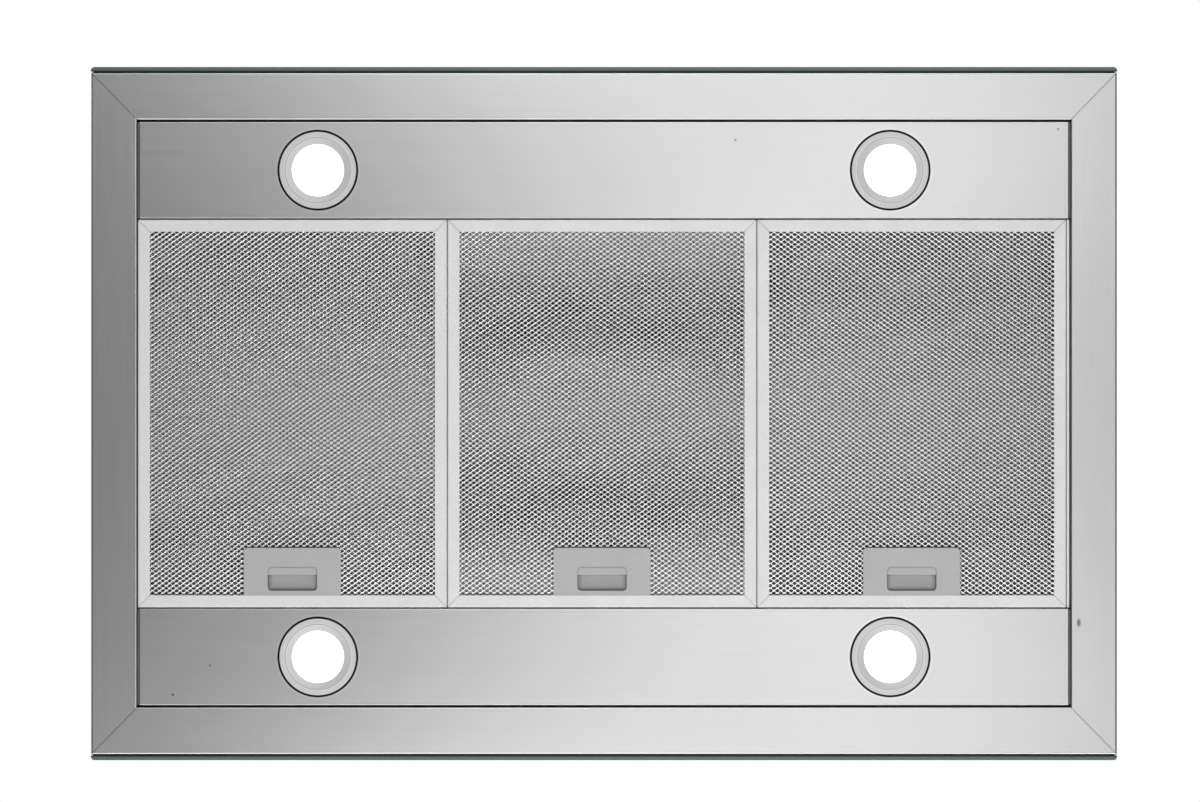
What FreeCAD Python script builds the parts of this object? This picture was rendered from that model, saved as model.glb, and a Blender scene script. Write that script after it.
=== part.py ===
"""Built-in range hood with a glass fascia front and rear, in the position in which it hangs.

+Z is up, and the open underside is at z = 0, with the origin at its centre. +X is the user's right and
-Y is the user's side, the front.
All lengths are millimetres. One STEP file is written for each named piece.
"""
import FreeCAD, Part
import math
import os

V = FreeCAD.Vector
os.makedirs("parts", exist_ok=True)

# ---------------------------------------------------------------- driving dimensions
# slab: the flat lower body
hood_width = 898.0
steel_depth = 597.0
slab_height = 60.0
sheet = 1.0

# mitred hood frame
frame_side_width = 40.5
frame_end_width = 41.5
frame_bend_radius = 1.6
frame_lip_height = 12.0
frame_ledge_width = 9.0
frame_top_flange = 15.0
mitre_gap = 0.15
side_hole_radius = 2.5
side_hole_height = 36.0
side_hole_spacing = 400.0
side_hole_reach = 2.0

# glass fascias and what is bonded behind them
glass_thickness = 4.0
glass_end_radius = 3.0
tape_thickness = 0.8
tape_margin = 2.0
touch_window_width = 190.0
touch_window_height = 24.0
touch_window_centre = 30.0
touch_board_thickness = 1.6
touch_board_overlap = 5.0
touch_pad_count = 5
touch_pad_size = 12.0
touch_pad_pitch = 32.0

# light panels
panel_depth = 84.5
panel_gap = 1.7
panel_recess = 0.8
panel_flange_height = 25.0
panel_tab_width = 24.0
panel_tab_reach = 9.0
panel_edge_radius = 0.7

# lamps
lamp_inset = 158.0
lamp_hole_radius = 35.1
lamp_flange_radius = 33.8
lamp_flange_edge = 0.4
lamp_ring_radius = 28.1
lamp_lens_radius = 22.9
lamp_ring_step = 0.7
lamp_ring_rise = 1.2
lamp_lens_seat = 1.0
lamp_proud = 0.2
lamp_can_radius = 31.4
lamp_can_wall = 1.2
lamp_can_height = 14.0
lamp_shoulder_reach = 6.4
lamp_shoulder_thickness = 1.2
lamp_gasket_thickness = 1.4
lamp_gasket_reach = 7.4
lamp_lens_thickness = 1.5
lamp_fit = 0.2
lamp_board_height = 9.0
lamp_board_thickness = 1.6
heat_sink_height = 16.0
heat_sink_fins = 18
heat_sink_fin_depth = 9.0
clip_thickness = 0.8
clip_width = 12.0
clip_foot = 10.0
clip_leaf = 4.0
clip_room = 2.0

# cross rails and filler strip
rail_height = 24.0
rail_foot = 7.0
rail_end_overlap = 8.0
strip_width = 1.8
strip_frame_gap = 1.6

# filters
filter_count = 3
filter_names = ("left", "middle", "right")
filter_gap = 0.5
filter_end_gap = 1.1
filter_recess = 1.0
filter_height = 9.0
filter_border = 10.5
filter_sheet = 0.8
filter_frame_gap = 0.5
filter_edge_radius = 1.0
mesh_thickness = 0.8
mesh_inset = 7.7
mesh_gap_across = 21.0
mesh_gap_along = 24.0
mesh_strand = 2.4
mesh_margin = 4.0

# hinge rod at each filter's rear edge, and the hooks that carry it
rod_radius = 1.2
rod_inset = 4.8
rod_height = 3.5
rod_clearance = 0.1
hook_thickness = 1.0
hook_width = 12.0
hook_spacing = 180.0
hook_lip = 1.4
hook_headroom = 3.0
hook_back_height = 11.0
notch_clearance = 2.0
notch_floor = 2.6

# latch
latch_width = 84.9
latch_depth = 41.6
latch_corner = 3.5
latch_window_width = 43.0
latch_window_depth = 20.5
latch_window_corner = 2.6
latch_window_inset = 4.2
latch_lip_depth = 6.7
latch_scoop_height = 6.0
latch_scoop_wall = 0.8
latch_scoop_round = 4.5
latch_travel = 5.0
latch_play = 0.2
slide_thickness = 1.2
slide_arm = 4.0
slide_side_room = 1.2
slide_rear_reach = 15.3
bolt_width = 12.0
bolt_reach = 3.5
bolt_nose = 1.8
bolt_edge = 0.4
bolt_room = 1.0
spring_coil_radius = 1.9
spring_wire_radius = 0.25
spring_turns = 6
spring_length = 10.5
spring_tab_width = 8.0
spring_tab_thickness = 1.0
spring_tab_height = 4.8

# blower
impeller_radius = 80.0
impeller_inner_radius = 66.0
impeller_width = 140.0
impeller_blades = 36
impeller_blade_thickness = 1.0
impeller_blade_lean = 0.12
impeller_blade_bow = 0.8
impeller_disc = 1.6
impeller_rim = 2.0
impeller_rim_edge = 0.6
impeller_hub_radius = 10.0
impeller_hub_length = 18.0
scroll_start_gap = 16.0
scroll_growth = 16.0
scroll_side_gap = 4.0
scroll_floor_gap = 4.0
scroll_neck = 34.0
scroll_inlet_radius = 62.0
shaft_radius = 4.0
shaft_clearance = 0.05
shaft_in_motor = 50.0
motor_radius = 38.0
motor_hub_gap = 3.0
motor_edge_radius = 3.0
spider_thickness = 2.0
spider_arms = 3
spider_arm_width = 14.0
spider_reach = 8.0
spider_hole_radius = 14.0

# blower housing
inlet_room = 105.0
housing_room = 43.0
housing_flange = 12.0

# duct collar and damper flaps
duct_radius = 74.5
duct_wall = 1.8
duct_height = 58.0
duct_flange_reach = 13.0
duct_flange_thickness = 2.0
duct_rim_radius = 0.6
flap_seat_height = 11.0
flap_seat_reach = 2.5
flap_thickness = 1.6
flap_edge_gap = 0.5
flap_pin_radius = 1.95
flap_pin_clearance = 0.05
flap_pin_offset = 3.5
flap_seat_gap = 0.3
flap_pin_end_gap = 0.4

# hanger brackets
hanger_thickness = 2.5
hanger_width = 40.0
hanger_leg = 45.0
hanger_ear = 36.0
hanger_drop = 8.0
hanger_spacing = 250.0
hanger_hole_radius = 4.5
hanger_bend_radius = 4.0
hanger_hole_offset = 20.0

# electrics on the top pan
control_length = 150.0
control_width = 110.0
control_height = 38.0
control_wall = 2.0
control_corner = 6.0
control_lid = 2.5
control_room = 40.0
gland_radius = 9.0
gland_length = 20.0
gland_bore_radius = 4.0
gland_collar_radius = 12.0
gland_collar_length = 6.0
gland_neck_radius = 7.5
driver_length = 130.0
driver_width = 45.0
driver_height = 24.0
driver_corner = 4.0

# screws
screw_radius = 1.95
screw_hole_clearance = 0.1
screw_head_radius = 4.0
screw_head_height = 2.4
screw_head_edge = 0.8
screw_length = 6.0
screw_flange_inset = 7.0
screws_per_long_side = 4
screws_per_short_side = 2

# lengths below this count as zero
touching = 1e-6

# ---------------------------------------------------------------- worked-out places
opening_width = hood_width - 2 * frame_side_width
opening_depth = steel_depth - 2 * frame_end_width
pan_floor = slab_height
pan_top = pan_floor + sheet

panel_skin_floor = panel_recess
panel_skin_top = panel_recess + sheet
panel_outer = opening_depth / 2 - panel_gap
panel_inner = panel_outer - panel_depth
panel_half_width = opening_width / 2 - panel_gap
lamp_x = opening_width / 2 - lamp_inset
lamp_y = panel_outer - panel_depth / 2

filter_depth = 2 * (panel_inner - filter_end_gap)
strip_outer = -opening_width / 2 + strip_frame_gap
strip_inner = strip_outer + strip_width
bank_low = strip_inner + filter_gap
bank_high = opening_width / 2 - filter_frame_gap
filter_pitch = (bank_high - bank_low + filter_gap) / filter_count
filter_width = filter_pitch - filter_gap
filter_floor = filter_recess
filter_top = filter_floor + filter_height
filter_inside_floor = filter_floor + filter_sheet
filter_inside_top = filter_top - filter_sheet
mesh_half_width = filter_width / 2 - mesh_inset
mesh_half_depth = filter_depth / 2 - mesh_inset

rod_y = filter_depth / 2 - rod_inset
rod_z = filter_floor + rod_height
hook_inner = rod_radius + rod_clearance
hook_outer = hook_inner + hook_thickness

latch_front = -filter_depth / 2 + filter_border
latch_rear = latch_front + latch_depth
window_front = latch_front + latch_window_inset
window_rear = window_front + latch_window_depth
lip_edge = window_rear - latch_lip_depth
slide_floor = filter_inside_floor + latch_play
slide_top = slide_floor + slide_thickness
scoop_side = latch_window_width / 2 + latch_scoop_wall
slide_inner = scoop_side + slide_side_room
slide_outer = slide_inner + slide_arm
slide_bar_rear = window_front - latch_scoop_wall - latch_travel - 2 * latch_play
slide_bar_front = slide_bar_rear - slide_arm
slide_rear = lip_edge + slide_rear_reach
spring_front = slide_rear + latch_travel + latch_play - spring_length
spring_rear = spring_front + spring_length
spring_z = slide_top + spring_coil_radius + spring_wire_radius + latch_play
cutout_side = slide_outer + slide_side_room + latch_scoop_wall
cutout_rear = spring_rear + spring_tab_thickness + latch_play

scroll_shift = scroll_growth / 2
scroll_radius_1 = impeller_radius + scroll_start_gap
scroll_radius_2 = scroll_radius_1 + scroll_growth
scroll_radius_3 = scroll_radius_2 + scroll_growth
scroll_low_y = scroll_shift + scroll_radius_1 + sheet
scroll_high_y = scroll_shift + scroll_radius_3 + sheet
scroll_below = scroll_shift + scroll_radius_2 + sheet
scroll_tongue = scroll_radius_1 - scroll_shift
scroll_width = impeller_width + 2 * scroll_side_gap
blower_y = (scroll_low_y - scroll_high_y) / 2
blower_z = pan_top + scroll_floor_gap + scroll_below
housing_width = scroll_width + 2 * (sheet + inlet_room)
housing_depth = scroll_low_y + scroll_high_y + 2 * (sheet + housing_room)
housing_ceiling = blower_z + scroll_tongue + scroll_neck
housing_top = housing_ceiling + sheet
well_width = housing_width - 2 * (sheet + housing_flange)
well_depth = housing_depth - 2 * (sheet + housing_flange)
pan_to_ceiling = housing_ceiling - pan_top

duct_y = blower_y + (scroll_high_y - sheet - scroll_shift) / 2
duct_inner = duct_radius - duct_wall
duct_seat_radius = duct_inner - flap_seat_reach
flap_seat = housing_top + flap_seat_height
flap_floor = flap_seat + flap_seat_gap
flap_pin_z = flap_floor + flap_pin_radius

screw_hole = screw_radius + screw_hole_clearance


# ---------------------------------------------------------------- shape helpers
def on_plan(z):
    """A drawing plane seen from above: (x, y) at height z."""
    return lambda a, b: V(a, b, z)


def on_side(x):
    """A drawing plane seen along X: (y, z) at the given x."""
    return lambda a, b: V(x, a, b)


def on_front(y):
    """A drawing plane seen along Y: (x, z) at the given y."""
    return lambda a, b: V(a, y, b)


def outline(corners, place):
    """Closed wire through (a, b) or (a, b, radius) corners; a radius rounds its corner with a tangent arc."""
    points = [place(*corner[:2]) for corner in corners]
    path, ends = [], []
    for i, corner in enumerate(points):
        radius = corners[i][2] if len(corners[i]) > 2 else 0
        back = (points[i - 1] - corner).normalize()
        ahead = (points[(i + 1) % len(points)] - corner).normalize()
        half_angle = back.getAngle(ahead) / 2
        start = corner + back * (radius / math.tan(half_angle))
        end = corner + ahead * (radius / math.tan(half_angle))
        inward = (back + ahead).normalize() if radius else V()
        nearest = corner + inward * (radius / math.sin(half_angle) - radius)
        ends.append((start, nearest, end))
    for i, (start, nearest, end) in enumerate(ends):
        if (end - start).Length > touching:
            path.append(Part.Arc(start, nearest, end).toShape())
        following = ends[(i + 1) % len(ends)][0]
        if (following - end).Length > touching:
            path.append(Part.makeLine(end, following))
    return Part.Wire(path)


def prism(corners, place, along):
    """A drawn outline pushed along a vector."""
    return Part.Face(outline(corners, place)).extrude(V(*along))


def rectangle(low_a, high_a, low_b, high_b, radius=0):
    """Four corners of a rectangle, all with one radius."""
    return [
        (low_a, low_b, radius),
        (high_a, low_b, radius),
        (high_a, high_b, radius),
        (low_a, high_b, radius),
    ]


def block(x, y, z):
    """A box between low and high values along each axis."""
    low = V(x[0], y[0], z[0])
    return Part.makeBox(x[1] - x[0], y[1] - y[0], z[1] - z[0], low)


def centred(middle, width):
    """The low and high values of a width round its middle."""
    return middle - width / 2, middle + width / 2


def rod(radius, start, along):
    """A round bar from a point along a vector."""
    return Part.makeCylinder(radius, V(*along).Length, V(*start), V(*along))


def turned(corners, x, y):
    """An (r, z) outline turned round the vertical line through (x, y)."""
    solid = Part.Face(outline(corners, on_front(0))).revolve(V(), V(0, 0, 1), 360)
    return solid.translate(V(x, y, 0))


def mirrored(shape, *normal):
    """The same piece on the other side of the plane through the origin."""
    return shape.mirror(V(), V(*normal))


def drilled(shape, points, radius, low, high):
    """A piece with upright round holes at (x, y) points, open from low to high."""
    holes = [rod(radius, (x, y, low), (0, 0, high - low)) for x, y in points]
    return shape.cut(Part.makeCompound(holes))


def moved(shape, x, y=0, z=0):
    """A copy of a piece at another place."""
    return shape.translated(V(x, y, z))


def save(name, *shapes):
    """Write one piece, or a group of equal pieces, as one file."""
    solids = [solid for shape in shapes for solid in shape.Solids]
    kept = solids[0] if len(solids) == 1 else Part.makeCompound(solids)
    kept.exportStep(f"parts/{name}.step")


def mitred_member(section, length, depth, end_cut):
    """A folded section along X, from its outer face at y = 0 inwards, both ends cut on the mitre.

    end_cut is how far the cut runs along X while it crosses the member's depth.
    """
    half = length / 2
    low = min(corner[1] for corner in section) - sheet
    high = max(corner[1] for corner in section) + sheet
    outer = half - mitre_gap
    plan = [(-outer, 0), (outer, 0), (outer - end_cut, depth), (end_cut - outer, depth)]
    bar = prism(section, on_side(-half), (length, 0, 0))
    return bar.common(prism(plan, on_plan(low), (0, 0, high - low)))


def mitred_frame(section, width, depth, side_border, end_border):
    """Front, rear, left and right members of a mitred frame round the origin.

    section gives a member's outline for its border, from the outer face inwards.
    """
    front = mitred_member(section(end_border), width, end_border, side_border)
    front.translate(V(0, -depth / 2, 0))
    left = mitred_member(section(side_border), depth, side_border, end_border)
    left.rotate(V(), V(0, 0, 1), -90)
    left.translate(V(-width / 2, 0, 0))
    return front, mirrored(front, 0, 1, 0), left, mirrored(left, 1, 0, 0)


# ---------------------------------------------------------------- fixing points
def spread(count, span):
    """Evenly spaced places along a span that is centred on zero, one span share apart."""
    return [span * ((i + 0.5) / count - 0.5) for i in range(count)]


def rim_points():
    """Screws that hold the top pan on the frame's top flanges."""
    x = hood_width / 2 - screw_flange_inset
    y = steel_depth / 2 - screw_flange_inset
    long_sides = [(a, b) for a in spread(screws_per_long_side, hood_width) for b in (-y, y)]
    short_sides = [(a, b) for a in (-x, x) for b in spread(screws_per_short_side, steel_depth)]
    return long_sides + short_sides


def housing_points():
    """Screws in the middle of the housing's flanges, two on each side."""
    x = housing_width / 2 - sheet - housing_flange / 2
    y = housing_depth / 2 - sheet - housing_flange / 2
    across = [(a, b) for a in spread(screws_per_short_side, housing_width) for b in (-y, y)]
    along = [(a, b) for a in (-x, x) for b in spread(screws_per_short_side, housing_depth)]
    return across + along


def duct_points():
    """Screws round the duct collar's flange."""
    r = duct_radius + duct_flange_reach / 2
    return [(r, duct_y), (-r, duct_y), (0, duct_y + r), (0, duct_y - r)]


def filter_places():
    """Each filter's name and the x of its centre, from the user's left."""
    first = bank_low + filter_width / 2
    return [(filter_names[i], first + i * filter_pitch) for i in range(filter_count)]


# ---------------------------------------------------------------- slab
def frame_section(border):
    """Folded sheet: outer wall, visible face, inner lip with a ledge, and a flange at the top."""
    inside = max(frame_bend_radius - sheet, 0)
    ledge = border - frame_ledge_width
    return [
        (0, 0, frame_bend_radius),
        (border, 0, frame_bend_radius),
        (border, frame_lip_height),
        (ledge, frame_lip_height),
        (ledge, frame_lip_height - sheet),
        (border - sheet, frame_lip_height - sheet),
        (border - sheet, sheet, inside),
        (sheet, sheet, inside),
        (sheet, slab_height - sheet),
        (frame_top_flange, slab_height - sheet),
        (frame_top_flange, slab_height),
        (0, slab_height),
    ]


def touch_window(low_y, high_y):
    """The opening for the touch pads, through whatever lies between two y values."""
    return block(
        centred(0, touch_window_width),
        (low_y, high_y),
        centred(touch_window_centre, touch_window_height),
    )


def make_hood_frame():
    """Four mitred members with the pan's screw holes, the cabinet's screw holes and the touch window."""
    front, rear, left, _ = mitred_frame(
        frame_section, hood_width, steel_depth, frame_side_width, frame_end_width
    )
    front = front.cut(touch_window(-steel_depth / 2, -steel_depth / 2 + sheet))
    low, high = slab_height - 2 * sheet, slab_height + sheet
    across = [
        rod(side_hole_radius, (-hood_width / 2, y, side_hole_height), (side_hole_reach, 0, 0))
        for y in centred(0, side_hole_spacing)
    ]
    left = left.cut(Part.makeCompound(across))
    right = mirrored(left, 1, 0, 0)
    for name, member in (("front", front), ("rear", rear), ("left", left), ("right", right)):
        save(f"frame_{name}", drilled(member, rim_points(), screw_hole, low, high))


def make_fascias():
    """A glass fascia on the front and the rear, each on a black bonding tape, and the touch board."""
    steel = -steel_depth / 2
    glass_back = steel - tape_thickness
    glass_face = glass_back - glass_thickness
    half = hood_width / 2
    plan = [
        (-half, glass_face, glass_end_radius),
        (half, glass_face, glass_end_radius),
        (half, glass_back),
        (-half, glass_back),
    ]
    glass = prism(plan, on_plan(0), (0, 0, slab_height))
    save("glass_front", glass)
    save("glass_rear", mirrored(glass, 0, 1, 0))

    tape = block(
        centred(0, hood_width - 2 * tape_margin),
        (glass_back, steel),
        (tape_margin, slab_height - tape_margin),
    )
    save("bonding_tapes", tape.cut(touch_window(glass_back, steel)), mirrored(tape, 0, 1, 0))

    wall_inside = steel + sheet
    board = block(
        centred(0, touch_window_width + 2 * touch_board_overlap),
        (wall_inside, wall_inside + touch_board_thickness),
        centred(touch_window_centre, touch_window_height + 2 * touch_board_overlap),
    )
    pads = [
        block(
            centred(x, touch_pad_size),
            (glass_back, wall_inside),
            centred(touch_window_centre, touch_pad_size),
        )
        for x in spread(touch_pad_count, touch_pad_count * touch_pad_pitch)
    ]
    save("touch_board", board.multiFuse(pads))


def lamp_places():
    """The centres of the four lamps."""
    return [(x, y) for x in (-lamp_x, lamp_x) for y in (-lamp_y, lamp_y)]


def rear_panel():
    """A folded tray with two lamp holes, a tall flange along the filters and tabs over the frame's ledges."""
    flange_top = panel_skin_floor + panel_flange_height
    tray = block(
        centred(0, 2 * panel_half_width), (panel_inner, panel_outer), (panel_skin_floor, frame_lip_height)
    )
    under = [edge for edge in tray.Edges if edge.BoundBox.ZMax < panel_skin_floor + touching]
    tray = tray.makeFillet(panel_edge_radius, under)
    hollow = block(
        centred(0, 2 * (panel_half_width - sheet)),
        (panel_inner + sheet, panel_outer - sheet),
        (panel_skin_top, frame_lip_height),
    )
    flange = block(
        centred(0, 2 * panel_half_width),
        (panel_inner, panel_inner + sheet),
        (frame_lip_height, flange_top),
    )
    tabs = [
        block(
            sorted((side * (panel_half_width - sheet), side * (panel_half_width + panel_tab_reach))),
            centred(lamp_y, panel_tab_width),
            (frame_lip_height, frame_lip_height + sheet),
        )
        for side in (-1, 1)
    ]
    folded = tray.cut(hollow).multiFuse([flange, *tabs])
    return drilled(folded, lamp_places(), lamp_hole_radius, 0, panel_skin_top + sheet)


def make_light_panels():
    """The rear panel, and the front one with slots for the latch bolts."""
    rear = rear_panel()
    slots = [
        block(
            centred(x, bolt_width + 2 * bolt_room),
            (-panel_inner - sheet, -panel_inner),
            (panel_skin_top, slide_top + bolt_room),
        )
        for _, x in filter_places()
    ]
    save("light_panel_rear", rear)
    save("light_panel_front", mirrored(rear, 0, 1, 0).cut(Part.makeCompound(slots)))


def make_lamps():
    """Four lamps, dropped in from above: bezel, gasket, lens, board, heat sink and spring clips."""
    face = panel_skin_floor - lamp_proud
    ring_floor = face + lamp_ring_step
    lens_floor = ring_floor + lamp_ring_rise + lamp_lens_seat
    shoulder = panel_skin_top + lamp_gasket_thickness
    shoulder_top = shoulder + lamp_shoulder_thickness
    can_top = face + lamp_can_height
    bore = lamp_can_radius - lamp_can_wall
    shoulder_radius = lamp_can_radius + lamp_shoulder_reach
    gasket_radius = lamp_can_radius + lamp_gasket_reach
    bezel = [
        (lamp_ring_radius, face),
        (lamp_flange_radius, face, lamp_flange_edge),
        (lamp_flange_radius, panel_skin_top),
        (lamp_can_radius, panel_skin_top),
        (lamp_can_radius, shoulder),
        (shoulder_radius, shoulder),
        (shoulder_radius, shoulder_top),
        (lamp_can_radius, shoulder_top),
        (lamp_can_radius, can_top),
        (bore, can_top),
        (bore, lens_floor),
        (lamp_lens_radius, lens_floor),
        (lamp_lens_radius, ring_floor + lamp_ring_rise),
        (lamp_ring_radius, ring_floor),
    ]
    gasket = rectangle(lamp_can_radius, gasket_radius, panel_skin_top, shoulder)
    board_floor = face + lamp_board_height
    sink_floor = board_floor + lamp_board_thickness
    riser = gasket_radius + clip_room
    clip = [
        (riser - clip_leaf, shoulder_top),
        (riser, shoulder_top),
        (riser, panel_skin_top),
        (riser + clip_foot, panel_skin_top),
        (riser + clip_foot, panel_skin_top + clip_thickness),
        (riser + clip_thickness, panel_skin_top + clip_thickness),
        (riser + clip_thickness, shoulder_top + clip_thickness),
        (riser - clip_leaf, shoulder_top + clip_thickness),
    ]
    fin_outline = [lamp_can_radius] * 2 + [lamp_can_radius - heat_sink_fin_depth] * 2
    corners = heat_sink_fins * fin_outline
    fins = [
        (radius * math.cos(angle), radius * math.sin(angle))
        for radius, angle in zip(corners, spread(len(corners), 2 * math.pi))
    ]
    sink_base = rod(bore - lamp_fit, (0, 0, sink_floor), (0, 0, can_top - sink_floor))
    sink = sink_base.fuse(prism(fins, on_plan(can_top), (0, 0, heat_sink_height)))
    lens = rod(bore - lamp_fit, (0, 0, lens_floor), (0, 0, lamp_lens_thickness))
    board = rod(bore - lamp_fit, (0, 0, board_floor), (0, 0, lamp_board_thickness))
    right_clip = prism(clip, on_front(-clip_width / 2), (0, clip_width, 0))
    clips = Part.makeCompound([right_clip, mirrored(right_clip, 1, 0, 0)])
    pieces = {
        "lamp_bezels": turned(bezel, 0, 0),
        "lamp_gaskets": turned(gasket, 0, 0),
        "lamp_lenses": lens,
        "lamp_boards": board,
        "lamp_heat_sinks": sink,
        "lamp_clips": clips,
    }
    for name, piece in pieces.items():
        save(name, *[moved(piece, x, y) for x, y in lamp_places()])


def make_rails():
    """Two cross rails along the light panels, and the strip between the last filter and the frame."""
    web = panel_inner + sheet
    half = opening_width / 2 + rail_end_overlap
    section = [
        (web, frame_lip_height),
        (web + sheet + rail_foot, frame_lip_height),
        (web + sheet + rail_foot, frame_lip_height + sheet),
        (web + sheet, frame_lip_height + sheet),
        (web + sheet, frame_lip_height + rail_height),
        (web, frame_lip_height + rail_height),
    ]
    rail = prism(section, on_side(-half), (2 * half, 0, 0))
    save("cross_rails", rail, mirrored(rail, 0, 1, 0))

    foot = -opening_width / 2 - rail_end_overlap
    strip = [
        (strip_inner, filter_floor),
        (strip_inner, frame_lip_height + sheet),
        (foot, frame_lip_height + sheet),
        (foot, frame_lip_height),
        (strip_outer, frame_lip_height),
        (strip_outer, filter_floor),
    ]
    save("side_strip", prism(strip, on_front(-filter_depth / 2), (0, filter_depth, 0)))


def make_filter_hooks():
    """Two J-shaped hooks for each filter, on the rear panel's flange, round the filter's hinge rod."""
    arm = filter_top + hook_headroom
    back = panel_inner - hook_thickness
    section = [
        (rod_y + hook_outer, arm),
        (panel_inner, arm),
        (panel_inner, arm + hook_back_height),
        (back, arm + hook_back_height),
        (back, arm + hook_thickness),
        (rod_y + hook_inner, arm + hook_thickness),
        (rod_y + hook_inner, rod_z - hook_inner, hook_inner),
        (rod_y - hook_inner, rod_z - hook_inner, hook_inner),
        (rod_y - hook_inner, rod_z + hook_lip),
        (rod_y - hook_outer, rod_z + hook_lip),
        (rod_y - hook_outer, rod_z - hook_outer, hook_outer),
        (rod_y + hook_outer, rod_z - hook_outer, hook_outer),
    ]
    hook = prism(section, on_side(-hook_width / 2), (hook_width, 0, 0))
    places = [x + side for _, x in filter_places() for side in centred(0, hook_spacing)]
    save("filter_hooks", *[moved(hook, x) for x in places])


# ---------------------------------------------------------------- filters
def channel_section(border):
    """The filter's channel: outer wall, lower flange and upper flange."""
    return [
        (0, filter_floor, filter_edge_radius),
        (border, filter_floor),
        (border, filter_inside_floor),
        (filter_sheet, filter_inside_floor),
        (filter_sheet, filter_inside_top),
        (border, filter_inside_top),
        (border, filter_top),
        (0, filter_top, filter_edge_radius),
    ]


def filter_frame():
    """Four mitred channels, with notches for the hooks at the rear and a slot for the bolt in front."""
    front, rear, left, right = mitred_frame(
        channel_section, filter_width, filter_depth, filter_border, filter_border
    )
    notches = [
        block(
            centred(x, hook_width + 2 * notch_clearance),
            (rod_y - hook_outer - notch_clearance, filter_depth / 2),
            (filter_floor + notch_floor, filter_top),
        )
        for x in centred(0, hook_spacing)
    ]
    slot = block(
        centred(0, bolt_width + 2 * bolt_room),
        (-filter_depth / 2, -filter_depth / 2 + filter_sheet),
        (filter_inside_floor, slide_top + bolt_room),
    )
    return Part.makeCompound([front.cut(slot), rear.cut(Part.makeCompound(notches)), left, right])


def mesh_outline():
    """A mesh layer's edge, with a bay in front for the latch."""
    x, y = mesh_half_width, mesh_half_depth
    return [
        (-x, -y),
        (-cutout_side, -y),
        (-cutout_side, cutout_rear),
        (cutout_side, cutout_rear),
        (cutout_side, -y),
        (x, -y),
        (x, y),
        (-x, y),
    ]


def face_mesh():
    """One holed face of coarse diamonds in staggered rows, none of them across the latch bay or the edge."""
    half_a, half_b = (mesh_gap_across - mesh_strand) / 2, (mesh_gap_along - mesh_strand) / 2
    room_x = mesh_half_width - mesh_margin - half_a
    room_y = mesh_half_depth - mesh_margin - half_b
    columns = int(room_x / (mesh_gap_across / 2))
    rows = int(room_y / (mesh_gap_along / 2))
    diamonds = []
    for i in range(-columns, columns + 1):
        for j in range(-rows, rows + 1):
            x, y = i * mesh_gap_across / 2, j * mesh_gap_along / 2
            beside = abs(x) > cutout_side + mesh_strand + half_a
            behind = y > cutout_rear + mesh_strand + half_b
            if (i + j) % 2 == 0 and (beside or behind):
                diamonds.append([(x - half_a, y), (x, y - half_b), (x + half_a, y), (x, y + half_b)])
    plan = on_plan(filter_inside_floor)
    wires = [outline(mesh_outline(), plan)] + [outline(diamond, plan) for diamond in diamonds]
    face = Part.makeFace(wires, "Part::FaceMakerBullseye")
    return face.extrude(V(0, 0, mesh_thickness))


def mesh_pack():
    """The layers behind the face mesh, and the rear mesh that closes the filter over the latch bay."""
    low = filter_inside_floor + mesh_thickness
    high = filter_inside_top - mesh_thickness
    core = prism(mesh_outline(), on_plan(low), (0, 0, high - low))
    rear = block(
        centred(0, 2 * mesh_half_width), centred(0, 2 * mesh_half_depth), (high, filter_inside_top)
    )
    return Part.makeCompound([core, rear])


def latch_plate():
    """The plate with its window, the finger scoop behind it, and the stop for the latch spring."""
    half = latch_width / 2
    plan = [
        (-half, latch_front),
        (half, latch_front),
        (half, latch_rear, latch_corner),
        (-half, latch_rear, latch_corner),
    ]
    window = rectangle(*centred(0, latch_window_width), window_front, window_rear, latch_window_corner)
    plate = prism(plan, on_plan(filter_floor), (0, 0, filter_sheet))
    plate = plate.cut(prism(window, on_plan(filter_floor), (0, 0, filter_sheet)))

    back = lip_edge - latch_play
    ceiling = filter_floor + latch_scoop_height
    scoop = block(
        centred(0, 2 * scoop_side),
        (window_front - latch_scoop_wall, back + latch_scoop_wall),
        (filter_inside_floor, ceiling + latch_scoop_wall),
    )
    cavity = [
        (window_front, filter_floor),
        (window_front, ceiling, latch_scoop_round),
        (back, ceiling, latch_scoop_wall),
        (back, filter_floor),
    ]
    way = block(
        centred(0, 2 * scoop_side),
        (back, back + latch_scoop_wall),
        (filter_inside_floor, slide_top + latch_play),
    )
    hollow = prism(cavity, on_side(-latch_window_width / 2), (latch_window_width, 0, 0))
    stop = block(
        centred(0, spring_tab_width),
        (spring_rear, spring_rear + spring_tab_thickness),
        (filter_inside_floor, slide_top + spring_tab_height),
    )
    return plate.multiFuse([scoop.cut(hollow).cut(way), stop])


def latch_slide():
    """A flat ring round the scoop: the lip seen in the window, two arms, the bolt and the spring's tab."""
    ring = prism(
        rectangle(*centred(0, 2 * slide_outer), slide_bar_front, slide_rear, latch_scoop_wall),
        on_plan(slide_floor),
        (0, 0, slide_thickness),
    )
    inside = prism(
        rectangle(*centred(0, 2 * slide_inner), slide_bar_rear, lip_edge, latch_scoop_wall),
        on_plan(slide_floor),
        (0, 0, slide_thickness),
    )
    tip = -panel_inner - bolt_reach
    bolt = [
        (slide_bar_rear, slide_floor),
        (tip, slide_floor),
        (tip, slide_floor + bolt_edge),
        (tip + bolt_nose, slide_top),
        (slide_bar_rear, slide_top),
    ]
    tab = block(
        centred(0, spring_tab_width),
        (spring_front - spring_tab_thickness, spring_front),
        (slide_top, slide_top + spring_tab_height),
    )
    bar = prism(bolt, on_side(-bolt_width / 2), (bolt_width, 0, 0))
    return ring.cut(inside).multiFuse([bar, tab])


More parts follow.
